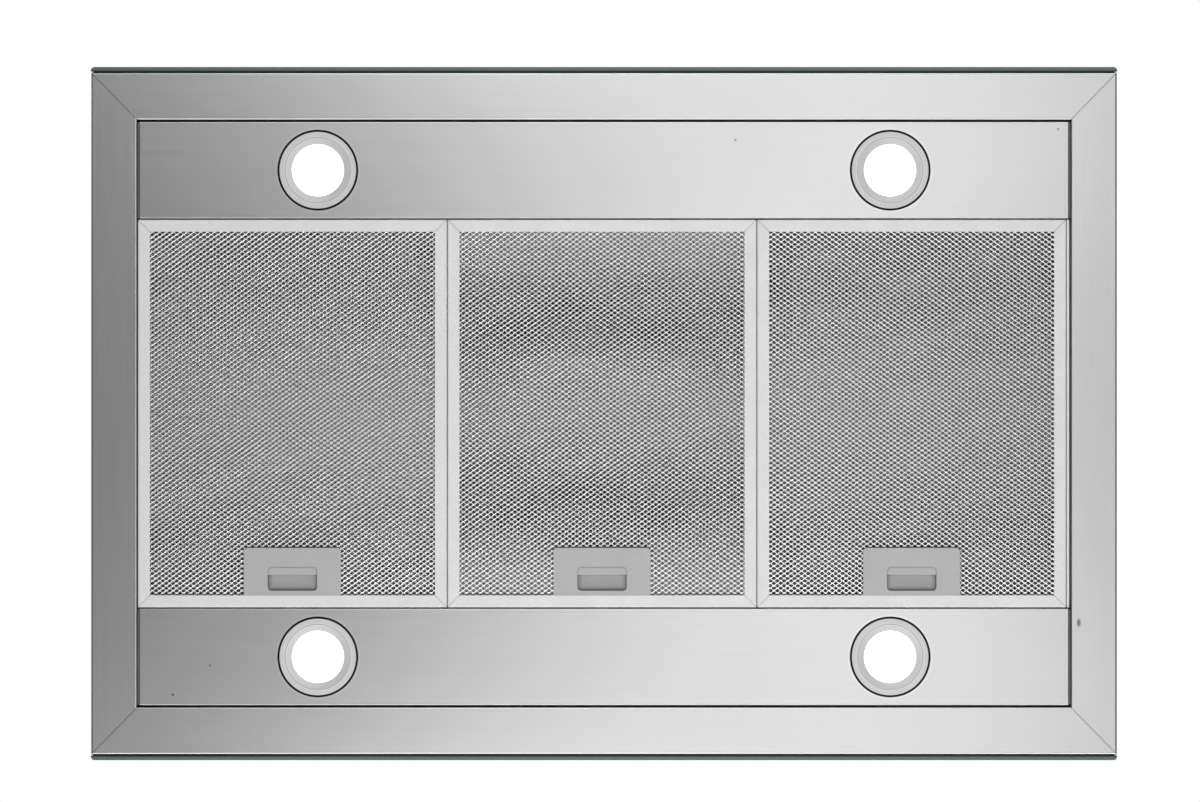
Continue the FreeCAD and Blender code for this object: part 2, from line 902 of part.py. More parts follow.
def latch_spring():
    """A compression spring along Y between the slide's tab and the plate's stop."""
    height = spring_length - 2 * spring_wire_radius
    coil = Part.makeHelix(height / spring_turns, height, spring_coil_radius)
    wire = Part.Wire([Part.makeCircle(spring_wire_radius, V(spring_coil_radius, 0, 0), V(0, 1, 0))])
    spring = Part.Wire(coil).makePipeShell([wire], True, False)
    spring.rotate(V(), V(1, 0, 0), -90)
    return spring.translate(V(0, spring_front + spring_wire_radius, spring_z))


def make_filters():
    """The same filter at each place, every piece in a file of its own."""
    length = filter_width - 2 * filter_sheet
    pieces = {
        "filter_frame": filter_frame(),
        "face_mesh": face_mesh(),
        "mesh_pack": mesh_pack(),
        "hinge_rod": rod(rod_radius, (-length / 2, rod_y, rod_z), (length, 0, 0)),
        "latch_plate": latch_plate(),
        "latch_slide": latch_slide(),
        "latch_spring": latch_spring(),
    }
    for place, x in filter_places():
        for name, piece in pieces.items():
            save(f"{name}_{place}", moved(piece, x))


# ---------------------------------------------------------------- upper body
def make_top_pan():
    """The sheet that closes the slab, with the well under the blower housing."""
    pan = prism(
        rectangle(*centred(0, hood_width), *centred(0, steel_depth), frame_bend_radius),
        on_plan(pan_floor),
        (0, 0, sheet),
    )
    well = block(centred(0, well_width), centred(0, well_depth), (pan_floor, pan_top))
    points = rim_points() + housing_points()
    save("top_pan", drilled(pan.cut(well), points, screw_hole, pan_floor - sheet, pan_top + sheet))


def housing_wall(length, flange_length, x_normal):
    """A wall with an inward flange at its foot and its top, its outer face at zero along its normal."""
    across = centred(0, length)
    reach = (sheet, sheet + housing_flange)
    levels = [(0, sheet), (pan_to_ceiling - sheet, pan_to_ceiling)]
    if x_normal:
        wall = block((0, sheet), across, (0, pan_to_ceiling))
        flanges = [block(reach, centred(0, flange_length), level) for level in levels]
    else:
        wall = block(across, (0, sheet), (0, pan_to_ceiling))
        flanges = [block(centred(0, flange_length), reach, level) for level in levels]
    return moved(wall.multiFuse(flanges), 0, 0, pan_top)


def make_housing():
    """Four flanged walls and a top plate with the duct opening."""
    points = housing_points()
    front = housing_wall(housing_width, housing_width - 2 * sheet, False)
    front = moved(front, 0, -housing_depth / 2)
    side = housing_wall(housing_depth - 2 * sheet, well_depth, True)
    side = moved(side, -housing_width / 2)
    walls = [
        drilled(wall, points, screw_hole, pan_floor, housing_top + sheet) for wall in (front, side)
    ]
    save("housing_front", walls[0])
    save("housing_rear", mirrored(walls[0], 0, 1, 0))
    save("housing_sides", walls[1], mirrored(walls[1], 1, 0, 0))
    top = block(
        centred(0, housing_width), centred(0, housing_depth), (housing_ceiling, housing_top)
    )
    low, high = housing_ceiling - sheet, housing_top + sheet
    top = drilled(top, points + duct_points(), screw_hole, low, high)
    save("housing_top", drilled(top, [(0, duct_y)], duct_seat_radius, low, high))


def scroll_path(offset):
    """The scroll's edges from the outlet's inner corner round to its outer one, grown outwards by offset."""
    top = housing_ceiling - blower_z
    centres = [(-scroll_shift, -scroll_shift), (scroll_shift, -scroll_shift), (scroll_shift, scroll_shift)]
    radii = [scroll_radius_1, scroll_radius_2, scroll_radius_3]
    lead = math.asin(offset / (scroll_radius_1 + offset))
    path, last = [], V(0, -scroll_shift - offset, top)
    for i, ((y, z), radius) in enumerate(zip(centres, radii)):
        start = math.pi / 2 * (i + 1) + (lead if i == 0 else 0)
        end = math.pi / 2 * (i + 2)
        points = [
            V(0, y + (radius + offset) * math.cos(a), z + (radius + offset) * math.sin(a))
            for a in (start, (start + end) / 2, end)
        ]
        if i == 0:
            path.append(Part.makeLine(last, points[0]))
        path.append(Part.Arc(*points).toShape())
        last = points[2]
    path.append(Part.makeLine(last, V(0, last.y, top)))
    return path


def make_scroll():
    """The scroll's wrap and its two sides with the air inlets."""
    inner, outer = scroll_path(0), scroll_path(sheet)
    ends = [(path[0].firstVertex().Point, path[-1].lastVertex().Point) for path in (inner, outer)]
    caps = [Part.makeLine(ends[0][i], ends[1][i]) for i in range(2)]
    wrap = Part.Face(Part.Wire(Part.__sortEdges__(inner + outer + caps))).extrude(V(scroll_width, 0, 0))
    save("scroll_wrap", moved(wrap, -scroll_width / 2, blower_y, blower_z))

    lid = Part.makeLine(*ends[1])
    side = Part.Face(Part.Wire(Part.__sortEdges__([*outer, lid]))).extrude(V(sheet, 0, 0))
    side = side.cut(rod(scroll_inlet_radius, (0, 0, 0), (sheet, 0, 0)))
    side = moved(side, scroll_width / 2, blower_y, blower_z)
    save("scroll_sides", side, mirrored(side, 1, 0, 0))


def impeller_blade(index):
    """A thin forward-leaning blade with a curved section, pushed along X."""
    step = 2 * math.pi * index / impeller_blades
    inner = impeller_inner_radius + impeller_rim_edge
    outer = impeller_radius - impeller_rim_edge
    middle = (inner + outer) / 2
    lean = impeller_blade_lean
    thick = impeller_blade_thickness / outer
    sides = []
    for shift in (0, thick):
        turns = ((inner, 0), (middle, lean * impeller_blade_bow), (outer, lean))
        sides.append(
            [V(0, r * math.cos(step + a + shift), r * math.sin(step + a + shift)) for r, a in turns]
        )
    one, other = sides
    wire = Part.Wire(
        [
            Part.Arc(*one).toShape(),
            Part.makeLine(one[2], other[2]),
            Part.Arc(*other[::-1]).toShape(),
            Part.makeLine(other[0], one[0]),
        ]
    )
    return Part.Face(wire).extrude(V(impeller_width, 0, 0)).translate(V(-impeller_width / 2, 0, 0))


def make_impeller():
    """A double-inlet impeller: blades between two rims, a middle disc and a hub on the shaft."""
    half = impeller_width / 2
    disc = rod(impeller_radius - impeller_rim_edge, (-impeller_disc / 2, 0, 0), (impeller_disc, 0, 0))
    hub = rod(impeller_hub_radius, (-impeller_hub_length, 0, 0), (impeller_hub_length, 0, 0))
    rims = [
        rod(impeller_radius, (x, 0, 0), (impeller_rim, 0, 0)).cut(
            rod(impeller_inner_radius, (x, 0, 0), (impeller_rim, 0, 0))
        )
        for x in (-half, half - impeller_rim)
    ]
    blades = [impeller_blade(i) for i in range(impeller_blades)]
    wheel = disc.multiFuse([hub, *rims, *blades])
    wheel = wheel.cut(rod(shaft_radius, (-impeller_hub_length, 0, 0), (2 * impeller_hub_length, 0, 0)))
    save("impeller", moved(wheel, 0, blower_y, blower_z))


def make_motor():
    """The motor inside one half of the impeller, its shaft, and the bracket that holds it."""
    near = impeller_disc / 2 + motor_hub_gap
    far = scroll_width / 2 + sheet
    body = rod(motor_radius, (near, 0, 0), (far - near, 0, 0))
    rims = [edge for edge in body.Edges if edge.BoundBox.XMax - edge.BoundBox.XMin < touching]
    body = body.makeFillet(motor_edge_radius, rims)
    bore = rod(shaft_radius + shaft_clearance, (near, 0, 0), (shaft_in_motor, 0, 0))
    shaft_start = -impeller_hub_length
    shaft_end = near + shaft_in_motor - motor_hub_gap
    shaft = rod(shaft_radius, (shaft_start, 0, 0), (shaft_end - shaft_start, 0, 0))
    plate = rod(motor_radius, (far, 0, 0), (spider_thickness, 0, 0))
    reach = scroll_inlet_radius + spider_reach
    arm = block((far, far + spider_thickness), (0, reach), centred(0, spider_arm_width))
    arms = [arm.rotated(V(), V(1, 0, 0), 90 + i * 360 / spider_arms) for i in range(spider_arms)]
    spider = plate.multiFuse(arms).cut(rod(spider_hole_radius, (far, 0, 0), (spider_thickness, 0, 0)))
    for name, piece in (("motor", body.cut(bore)), ("motor_shaft", shaft), ("motor_bracket", spider)):
        save(name, moved(piece, 0, blower_y, blower_z))


def make_duct():
    """The round duct collar with its seat, and two flaps on pins that turn in the collar's wall."""
    flange = duct_radius + duct_flange_reach
    section = [
        (duct_seat_radius, housing_top),
        (flange, housing_top),
        (flange, housing_top + duct_flange_thickness),
        (duct_radius, housing_top + duct_flange_thickness),
        (duct_radius, housing_top + duct_height, duct_rim_radius),
        (duct_inner, housing_top + duct_height, duct_rim_radius),
        (duct_inner, flap_seat),
        (duct_seat_radius, flap_seat),
    ]
    collar = turned(section, 0, duct_y)
    hole = flap_pin_radius + flap_pin_clearance
    bores = [
        rod(hole, (x, duct_y - duct_radius, flap_pin_z), (0, 2 * duct_radius, 0))
        for x in (-flap_pin_offset, flap_pin_offset)
    ]
    low, high = housing_top, housing_top + duct_flange_thickness
    collar = drilled(collar.cut(Part.makeCompound(bores)), duct_points(), screw_hole, low, high)
    save("duct_collar", collar)

    radius = duct_inner - flap_edge_gap
    disc = rod(radius, (0, duct_y, flap_floor), (0, 0, flap_thickness))
    half = block(
        (flap_pin_offset, radius), centred(duct_y, 2 * radius), (flap_floor, flap_floor + flap_thickness)
    )
    reach = duct_radius - flap_pin_end_gap
    pin = rod(flap_pin_radius, (flap_pin_offset, duct_y - reach, flap_pin_z), (0, 2 * reach, 0))
    flap = disc.common(half).fuse(pin)
    save("damper_flap_right", flap)
    save("damper_flap_left", mirrored(flap, 1, 0, 0))


def make_hangers():
    """Four angle brackets at the top of the housing's sides, each with an upright bolt hole in its ear."""
    wall = housing_width / 2
    top = housing_top - hanger_drop
    inside = hanger_bend_radius - hanger_thickness
    section = [
        (wall, top - hanger_leg),
        (wall + hanger_thickness, top - hanger_leg),
        (wall + hanger_thickness, top - hanger_thickness, max(inside, 0)),
        (wall + hanger_ear, top - hanger_thickness),
        (wall + hanger_ear, top),
        (wall, top, hanger_bend_radius),
    ]
    angle = prism(section, on_front(-hanger_width / 2), (0, hanger_width, 0))
    low, high = top - 2 * hanger_thickness, top + hanger_thickness
    angle = drilled(angle, [(wall + hanger_hole_offset, 0)], hanger_hole_radius, low, high)
    right = [moved(angle, 0, y) for y in centred(0, hanger_spacing)]
    save("hanger_brackets", *right, *[mirrored(piece, 1, 0, 0) for piece in right])


def make_electrics():
    """Control box with its lid and cable gland on the left of the pan, and the lamp driver on the right."""
    high_x = -housing_width / 2 - control_room
    low_x = high_x - control_length
    middle = (low_x + high_x) / 2
    floor, top = pan_top, pan_top + control_height
    edge = rectangle(low_x, high_x, *centred(0, control_width), control_corner)
    wall = control_wall
    inner = rectangle(
        low_x + wall, high_x - wall, *centred(0, control_width - 2 * wall), control_corner - wall
    )
    box = prism(edge, on_plan(floor), (0, 0, control_height))
    box = box.cut(prism(inner, on_plan(floor + wall), (0, 0, control_height)))
    outside, z = control_width / 2, floor + control_height / 2
    neck = rod(gland_neck_radius, (middle, outside - wall, z), (0, wall, 0))
    gland = neck.multiFuse(
        [
            rod(gland_collar_radius, (middle, outside, z), (0, gland_collar_length, 0)),
            rod(gland_radius, (middle, outside, z), (0, gland_length, 0)),
        ]
    )
    bore = rod(gland_bore_radius, (middle, outside - wall, z), (0, wall + gland_length, 0))
    save("control_box", box.cut(neck))
    save("control_box_lid", prism(edge, on_plan(top), (0, 0, control_lid)))
    save("cable_gland", gland.cut(bore))

    start = housing_width / 2 + control_room
    driver = rectangle(start, start + driver_length, *centred(0, driver_width), driver_corner)
    save("led_driver", prism(driver, on_plan(pan_top), (0, 0, driver_height)))


def make_screws():
    """One kind of pan-head screw, head up, at every fixing point."""
    head = [
        (0, 0),
        (screw_head_radius, 0),
        (screw_head_radius, screw_head_height, screw_head_edge),
        (0, screw_head_height),
    ]
    shank = rod(screw_radius, (0, 0, -screw_length), (0, 0, screw_length))
    screw = turned(head, 0, 0).fuse(shank)
    seats = [(rim_points(), pan_top), (housing_points(), pan_top + sheet)]
    seats += [(housing_points(), housing_top), (duct_points(), housing_top + duct_flange_thickness)]
    save("screws", *[moved(screw, x, y, z) for points, z in seats for x, y in points])


make_hood_frame()
make_fascias()
make_light_panels()
make_lamps()
make_rails()
make_filter_hooks()
make_filters()
make_top_pan()
make_housing()
make_scroll()
make_impeller()
make_motor()
make_duct()
make_hangers()
make_electrics()
make_screws()
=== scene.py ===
# %% [markdown]
# # Dressing a range hood insert
# A range hood hangs over a cooktop, so the side that people know is its underside: a brushed steel frame,
# two steel panels with lamps, and a bank of aluminium grease filters. The shape of every part was built in
# CAD and comes in as a fixed frame. This lesson gives each part its finish, and adds what CAD leaves
# coarse, such as the strands of the filter mesh, the coils of the latch springs and the cross slots of the
# screws. Nothing that came from CAD is moved, so every new piece is placed from the boxes of the CAD parts.

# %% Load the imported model
import math
import bmesh
import bpy
import numpy as np
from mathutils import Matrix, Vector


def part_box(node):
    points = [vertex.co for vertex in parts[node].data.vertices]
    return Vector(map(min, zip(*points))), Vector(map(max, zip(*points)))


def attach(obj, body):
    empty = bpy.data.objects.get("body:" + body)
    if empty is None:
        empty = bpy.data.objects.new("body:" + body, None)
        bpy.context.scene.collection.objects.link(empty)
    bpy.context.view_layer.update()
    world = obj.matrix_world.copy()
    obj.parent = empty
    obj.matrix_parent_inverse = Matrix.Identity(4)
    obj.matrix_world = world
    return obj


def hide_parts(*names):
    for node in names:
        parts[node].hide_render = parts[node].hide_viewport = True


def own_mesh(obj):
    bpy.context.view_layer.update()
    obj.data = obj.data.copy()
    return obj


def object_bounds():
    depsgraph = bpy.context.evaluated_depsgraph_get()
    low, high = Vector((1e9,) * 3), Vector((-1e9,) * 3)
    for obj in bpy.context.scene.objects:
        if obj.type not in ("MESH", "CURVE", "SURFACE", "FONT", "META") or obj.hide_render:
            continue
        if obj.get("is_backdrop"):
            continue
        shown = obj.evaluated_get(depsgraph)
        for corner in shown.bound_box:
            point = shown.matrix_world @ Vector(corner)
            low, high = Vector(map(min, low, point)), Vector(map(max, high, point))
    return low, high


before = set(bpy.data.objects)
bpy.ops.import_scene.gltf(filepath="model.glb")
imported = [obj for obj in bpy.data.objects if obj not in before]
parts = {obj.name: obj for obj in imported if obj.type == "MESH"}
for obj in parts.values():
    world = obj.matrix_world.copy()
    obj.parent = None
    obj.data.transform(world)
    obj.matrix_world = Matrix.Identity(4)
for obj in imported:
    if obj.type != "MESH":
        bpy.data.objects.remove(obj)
cad_box = [list(corner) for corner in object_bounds()]
print(len(parts), "parts loaded, box", [[round(v, 4) for v in corner] for corner in cad_box])

# %% [markdown]
# ## The camera
# The photograph looks straight up at the hood from far away, so lines that are parallel on the hood stay
# parallel in the picture. A long lens at a distance of about four metres gives that look. The distance
# follows from similar triangles: the sensor is to the lens as the width of the view is to the distance.

# %% Place the camera below the hood
LENS_MM, SENSOR_MM = 135.0, 36.0
VIEW_WIDTH = 1.0501
VIEW_CENTRE = (0.0035, 0.0110)
camera_data = bpy.data.cameras.new("underside_camera")
camera_data.lens, camera_data.sensor_width = LENS_MM, SENSOR_MM
camera = bpy.data.objects.new("underside_camera", camera_data)
bpy.context.scene.collection.objects.link(camera)
distance = VIEW_WIDTH * LENS_MM / SENSOR_MM
camera.location = (*VIEW_CENTRE, -distance)
camera.rotation_euler = (0.0, math.pi, 0.0)
camera_data.clip_start, camera_data.clip_end = 0.1, 60.0
bpy.context.scene.camera = camera
print("camera", round(distance, 3), "m below the frame")

# %% [markdown]
# ## Starting a finish
# Every finish begins as a Principled shader. What is the same all over the surface is typed straight onto
# the shader's sockets. What changes from place to place is worked out from Object coordinates, which are
# metres in the hood's own space, so a pattern keeps its real size and never slides.

# %% Helpers for procedural finishes
def new_finish(name, colour, metallic, roughness, **sockets):
    """A Principled material with plain numbers on its sockets."""
    material = bpy.data.materials.new(name)
    material.use_nodes = True
    tree = material.node_tree
    shader = tree.nodes["Principled BSDF"]
    shader.inputs["Base Color"].default_value = (*colour, 1.0)
    shader.inputs["Metallic"].default_value = metallic
    shader.inputs["Roughness"].default_value = roughness
    for socket, value in sockets.items():
        shader.inputs[socket.replace("_", " ")].default_value = value
    return material, tree, shader


def node(tree, kind, links=None, **values):
    """A node of a kind: links sets or links its sockets, by name or number, and values sets its options."""
    made = tree.nodes.new("ShaderNode" + kind)
    for key, value in values.items():
        setattr(made, key, value)
    for key, value in (links or {}).items():
        if isinstance(value, bpy.types.NodeSocket):
            tree.links.new(value, made.inputs[key])
        else:
            made.inputs[key].default_value = value
    return made


def place_in(tree, scale=(1, 1, 1)):
    """Object coordinates multiplied by a scale, in repeats per metre on each axis."""
    return node(tree, "Mapping", {0: node(tree, "TexCoord").outputs["Object"], 3: scale}).outputs[0]


def noise(tree, scale, detail=2.0, rough=0.5):
    """Cloudy noise from 0 to 1; a small scale on one axis stretches it into streaks along that axis."""
    links = {"Vector": place_in(tree, scale), "Scale": 1.0, "Detail": detail, "Roughness": rough}
    return node(tree, "TexNoise", links).outputs[0]


def spread(tree, value, low, high, start=0.3, end=0.7):
    """A value between start and end, carried over to the range from low to high."""
    return node(tree, "MapRange", {0: value, 1: start, 2: end, 3: low, 4: high}).outputs[0]


def blend(tree, share, one, other):
    """A colour that goes from one to the other as the share goes from 0 to 1."""
    colours = [c if isinstance(c, bpy.types.NodeSocket) else (*c, 1.0) for c in (one, other)]
    mix = node(tree, "Mix", {0: share, 6: colours[0], 7: colours[1]}, data_type="RGBA")
    return mix.outputs[2]


def raise_surface(tree, shader, height, depth, strength=1.0):
    """A bump that lets light see grooves of the given depth in metres."""
    bump = node(tree, "Bump", {"Height": height, "Distance": depth, "Strength": strength})
    tree.links.new(bump.outputs[0], shader.inputs["Normal"])


def tint(colour, factor):
    """The colour made lighter or darker by a factor."""
    return tuple(min(1.0, c * factor) for c in colour)


def calc(tree, operation, one, other=0.0):
    """One step of arithmetic on sockets or numbers."""
    return node(tree, "Math", {0: one, 1: other}, operation=operation).outputs[0]


def axes(tree, coordinates="Object"):
    """X, Y and Z of the Object coordinates, or of the surface's own direction with "Normal"."""
    return node(tree, "SeparateXYZ", {0: node(tree, "TexCoord").outputs[coordinates]}).outputs


def line_at(tree, value, level, inner, outer):
    """A stripe round the place where a value reaches a level: 1 up to the inner reach, 0 past the outer."""
    return spread(tree, calc(tree, "ABSOLUTE", calc(tree, "SUBTRACT", value, level)), 1.0, 0.0, inner, outer)


def reach_from(tree, u, v, centre_u, centre_v):
    """The distance from a centre in the plane of two coordinates."""
    offsets = [calc(tree, "SUBTRACT", value, centre) for value, centre in ((u, centre_u), (v, centre_v))]
    return calc(tree, "SQRT", calc(tree, "ADD", *[calc(tree, "MULTIPLY", d, d) for d in offsets]))


def scaled(tree, colour, factor):
    """A colour multiplied by a number or a socket."""
    return node(tree, "VectorMath", {0: colour, "Scale": factor}, operation="SCALE").outputs[0]


def shade(tree, colour, amount, mask):
    """A colour made darker by an amount where the mask is 1."""
    return scaled(tree, colour, calc(tree, "SUBTRACT", 1.0, calc(tree, "MULTIPLY", mask, amount)))


def upright(tree, start, end):
    """1 on walls that stand up, 0 where the surface lies flat."""
    return spread(tree, calc(tree, "ABSOLUTE", axes(tree, "Normal")[2]), 1.0, 0.0, start, end)


def paint(finish, *names):
    """Gives a finish to CAD parts, in place of the plain one that they came with."""
    for name in names:
        slots = parts[name].data.materials
        slots.clear()
        slots.append(finish)
    print(finish.name, "on", len(names), "parts")

# %% [markdown]
# ## Brushed steel
# The mill draws an abrasive belt along each sheet before it is cut. The grooves are far finer than a
# pixel, but they come in bands, and the bands are what the eye reads as brushing. One noise stretched
# about ninety times along the belt gives the bands, a finer one gives the hairlines, and a broad soft one
# gives the faint clouds left by handling. The frame is mitred, so its side pieces are brushed along their
# own length and meet the front and rear at 45 degrees, where a ground weld leaves a hairline. Round each lamp
# hole a thin ring is painted lighter, a painted highlight for a rolled rim, and the steel right at the hole's
# edge is painted darker, a painted shade. A few small dark specks are listed, and the upright walls inside the
# frame's outer edge are painted darker, a painted shade in the gaps between the parts.

# %% Brushed steel along X and along Y
STEEL, STEEL_ROUGHNESS = (0.535, 0.535, 0.535), 0.316
# Every speck is x, y, and half its size along x and along y.
SPECKS = [(-0.4155, -0.1830, 0.0024, 0.0050), (0.3775, -0.2460, 0.0017, 0.0017),
          (-0.1150, 0.2395, 0.0014, 0.0014), (0.3450, -0.2205, 0.0012, 0.0012),
          (-0.3975, 0.2490, 0.0012, 0.0012)]
side_low, side_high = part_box("frame_right")
rear_low, rear_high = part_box("frame_rear")
OPENING = (min(abs(side_low.x), abs(side_high.x)), rear_low.y)
MEMBER = (side_high.x - side_low.x, rear_high.y - rear_low.y)
LENS_RADIUS, HOLE_EDGE, HOLE_RING = 0.030, 0.0353, 0.0364
lenses_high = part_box("lamp_lenses")[1]
LAMP_PLACE = (lenses_high.x - LENS_RADIUS, lenses_high.y - LENS_RADIUS)
print("frame opening", OPENING, "member widths", MEMBER, "lamps at", LAMP_PLACE)


def brushed_steel(name, along):
    """Steel with grooves along one axis: bands and hairlines tint it, change its gloss and raise it."""
    bands_scale = [620.0, 620.0, 620.0]
    hair_scale = [2600.0, 2600.0, 2600.0]
    bands_scale[along], hair_scale[along] = 7.0, 40.0
    steel, tree, shader = new_finish(name, STEEL, 1.0, STEEL_ROUGHNESS)
    bands = noise(tree, bands_scale, 3.0, 0.6)
    grooves = calc(tree, "ADD", bands, noise(tree, hair_scale, 2.0))
    clouds = noise(tree, (9.0, 9.0, 9.0), 3.0)
    tone = blend(tree, spread(tree, grooves, 0.0, 1.0, 0.7, 1.3), tint(STEEL, 0.965), tint(STEEL, 1.035))
    soft = blend(tree, spread(tree, clouds, 0.0, 0.5), tone, tint(STEEL, 0.97))
    x, y, _ = axes(tree)
    for speck_x, speck_y, half_x, half_y in SPECKS:
        u, v = calc(tree, "DIVIDE", x, half_x), calc(tree, "DIVIDE", y, half_y)
        mark = spread(tree, reach_from(tree, u, v, speck_x / half_x, speck_y / half_y), 0.85, 0.0, 0.3, 1.0)
        soft = blend(tree, mark, soft, (0.09, 0.085, 0.08))
    wide, long = calc(tree, "ABSOLUTE", x), calc(tree, "ABSOLUTE", y)
    across = calc(tree, "DIVIDE", calc(tree, "SUBTRACT", wide, OPENING[0]), MEMBER[0])
    down = calc(tree, "DIVIDE", calc(tree, "SUBTRACT", long, OPENING[1]), MEMBER[1])
    weld = line_at(tree, calc(tree, "SUBTRACT", across, down), 0.0, 0.006, 0.014)
    in_frame = calc(tree, "GREATER_THAN", down, 0.0)
    soft = shade(tree, soft, 0.5, calc(tree, "MULTIPLY", weld, in_frame))
    lamp = reach_from(tree, wide, long, *LAMP_PLACE)
    # Painted highlight: a thin ring round each lamp hole is painted lighter, standing in for light on a rolled
    # rim.
    soft = blend(tree, line_at(tree, lamp, HOLE_RING, 0.0002, 0.0011), soft, scaled(tree, soft, 1.12))
    # Painted shade: the steel right at the edge of each lamp hole is painted darker, to deepen the gap round the
    # lamp.
    soft = shade(tree, soft, 0.8, spread(tree, lamp, 1.0, 0.0, HOLE_EDGE, HOLE_EDGE + 0.0003))
    # Painted shade: walls that stand up, inside the frame's outer edge, are painted darker so the gaps between
    # parts read dark.
    inward = calc(tree, "LESS_THAN", wide, OPENING[0] + MEMBER[0] - 0.002)
    soft = shade(tree, soft, 0.35, calc(tree, "MULTIPLY", upright(tree, 0.1, 0.8), inward))
    tree.links.new(soft, shader.inputs["Base Color"])
    gloss = spread(tree, bands, STEEL_ROUGHNESS - 0.012, STEEL_ROUGHNESS + 0.012)
    tree.links.new(gloss, shader.inputs["Roughness"])
    raise_surface(tree, shader, grooves, 0.00001, 0.35)
    return steel


paint(brushed_steel("brushed_along_x", 0), "frame_front", "frame_rear", "light_panel_front", "light_panel_rear")
paint(brushed_steel("brushed_along_y", 1), "frame_left", "frame_right")

# %% [markdown]
# ## Galvanised sheet
# What nobody sees once the hood is up is left as zinc-coated sheet. Zinc freezes in flat crystals, the
# spangle, each with its own tilt, so each mirrors a slightly different part of the room. Voronoi cells
# with one random value each are just that: the value shifts the tone and the gloss of the whole cell.

# %% Galvanised steel
def galvanised(name, colour, spangle=150.0, roughness=0.42):
    """Zinc spangle: every Voronoi cell has its own tone and gloss, under a faint cloud of dulling."""
    zinc, tree, shader = new_finish(name, colour, 1.0, roughness)
    where = place_in(tree, (spangle,) * 3)
    bend = node(tree, "TexNoise", {"Vector": where, "Scale": 1.4, "Detail": 2.0}).outputs[1]
    bent = node(tree, "VectorMath", {0: where, 1: bend}, operation="ADD").outputs[0]
    cells = node(tree, "TexVoronoi", {"Vector": bent, "Scale": 1.0}).outputs["Color"]
    crystal = node(tree, "SeparateColor", {0: cells}).outputs[0]
    dull = noise(tree, (14.0, 14.0, 14.0), 4.0)
    tone = blend(tree, crystal, tint(colour, 0.90), tint(colour, 1.08))
    aged = blend(tree, spread(tree, dull, 0.0, 0.35), tone, tint(colour, 0.8))
    tree.links.new(aged, shader.inputs["Base Color"])
    tree.links.new(spread(tree, crystal, roughness - 0.05, roughness + 0.08, 0, 1), shader.inputs["Roughness"])
    raise_surface(tree, shader, crystal, 0.00002, 0.3)
    return zinc


paint(galvanised("galvanised_sheet", (0.56, 0.575, 0.59)), "top_pan", "housing_front", "housing_rear",
      "housing_sides", "housing_top")
paint(galvanised("galvanised_brackets", (0.50, 0.515, 0.53), 160.0), "cross_rails", "filter_hooks",
      "scroll_wrap", "scroll_sides", "motor_bracket", "hanger_brackets")

# %% [markdown]
# ## The glass fascias
# Float glass is nearly clear through its face, but a long path through it, as at a sawn edge, shows its
# iron as a cold grey-green. The fascia is painted black on its back, so its face mirrors the room over
# black, its ground edge is frosted and pale, and a dark line runs where the paint begins. Which of the
# two a point is on follows from the direction of its normal, and the line from its depth along Y. The
# touch pads of the front pane are marked with plain printed signs, drawn as rings and bars round each pad.

# %% Glass with ground edges
def ring(tree, x, z, centre, radius, half):
    """A printed ring in the plane of the pane."""
    return line_at(tree, reach_from(tree, x, z, *centre), radius, half, half + 0.00008)


def bar(tree, x, z, centre, half_x, half_z):
    """A printed bar along X or Z."""
    sides = [line_at(tree, value, middle, half, half + 0.00008)
             for value, middle, half in ((x, centre[0], half_x), (z, centre[1], half_z))]
    return calc(tree, "MULTIPLY", *sides)


def touch_signs(tree, pitch, level):
    """Signs on five pads: on and off, less, three steps, more, and light."""
    x, _, z = axes(tree)
    at = [(step * pitch, level) for step in (-2, -1, 0, 1, 2)]
    power = calc(tree, "MULTIPLY", ring(tree, x, z, at[0], 0.0030, 0.0002), calc(
        tree, "SUBTRACT", 1.0, bar(tree, x, z, (at[0][0], level + 0.003), 0.0010, 0.0015)))
    signs = [power, bar(tree, x, z, (at[0][0], level + 0.0022), 0.0002, 0.0015),
             bar(tree, x, z, at[1], 0.0028, 0.0002),
             bar(tree, x, z, at[3], 0.0028, 0.0002), bar(tree, x, z, at[3], 0.0002, 0.0028),
             ring(tree, x, z, (at[4][0], level + 0.0006), 0.0021, 0.0002)]
    signs += [bar(tree, x, z, (at[4][0], level - down), 0.0010, 0.0002) for down in (0.0024, 0.0033)]
    signs += [ring(tree, x, z, (at[2][0] + step, level), 0.0002, 0.0003) for step in (-0.003, 0.0, 0.003)]
    shown = signs[0]
    for sign_mask in signs[1:]:
        shown = calc(tree, "MAXIMUM", shown, sign_mask)
    return shown


def fascia_glass(name, back_y, pads=None):
    """Glass that is a polished dark face where it faces Y, and a frosted edge with a dark back elsewhere."""
    dark = (0.02, 0.03, 0.033)
    glass, tree, shader = new_finish(name, dark, 0.0, 0.04, IOR=1.52)
    edge = spread(tree, calc(tree, "ABSOLUTE", axes(tree, "Normal")[1]), 1.0, 0.0, 0.55, 0.85)
    from_back = calc(tree, "ABSOLUTE", calc(tree, "SUBTRACT", axes(tree)[1], back_y))
    painted = spread(tree, from_back, 0.0, 1.0, 0.0007, 0.0013)
    cloudy = spread(tree, noise(tree, (160.0, 900.0, 900.0), 3.0), 0.0, 1.0)
    ground = blend(tree, cloudy, (0.085, 0.122, 0.130), (0.115, 0.158, 0.168))
    rim = blend(tree, painted, (0.006, 0.011, 0.012), ground)
    face = blend(tree, touch_signs(tree, *pads), dark, (0.72, 0.74, 0.75)) if pads else dark
    tree.links.new(blend(tree, edge, face, rim), shader.inputs["Base Color"])
    tree.links.new(spread(tree, edge, 0.04, 0.42, 0, 1), shader.inputs["Roughness"])
    return glass


board_low, board_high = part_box("touch_board")
PAD_PITCH, PAD_LEVEL = 0.032, (board_low.z + board_high.z) / 2
print("touch board", board_low, board_high)
for side, sign, pads in (("glass_front", -1, (PAD_PITCH, PAD_LEVEL)), ("glass_rear", 1, None)):
    inner_face = min(abs(corner.y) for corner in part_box(side))
    paint(fascia_glass(side + "_finish", sign * inner_face, pads), side)
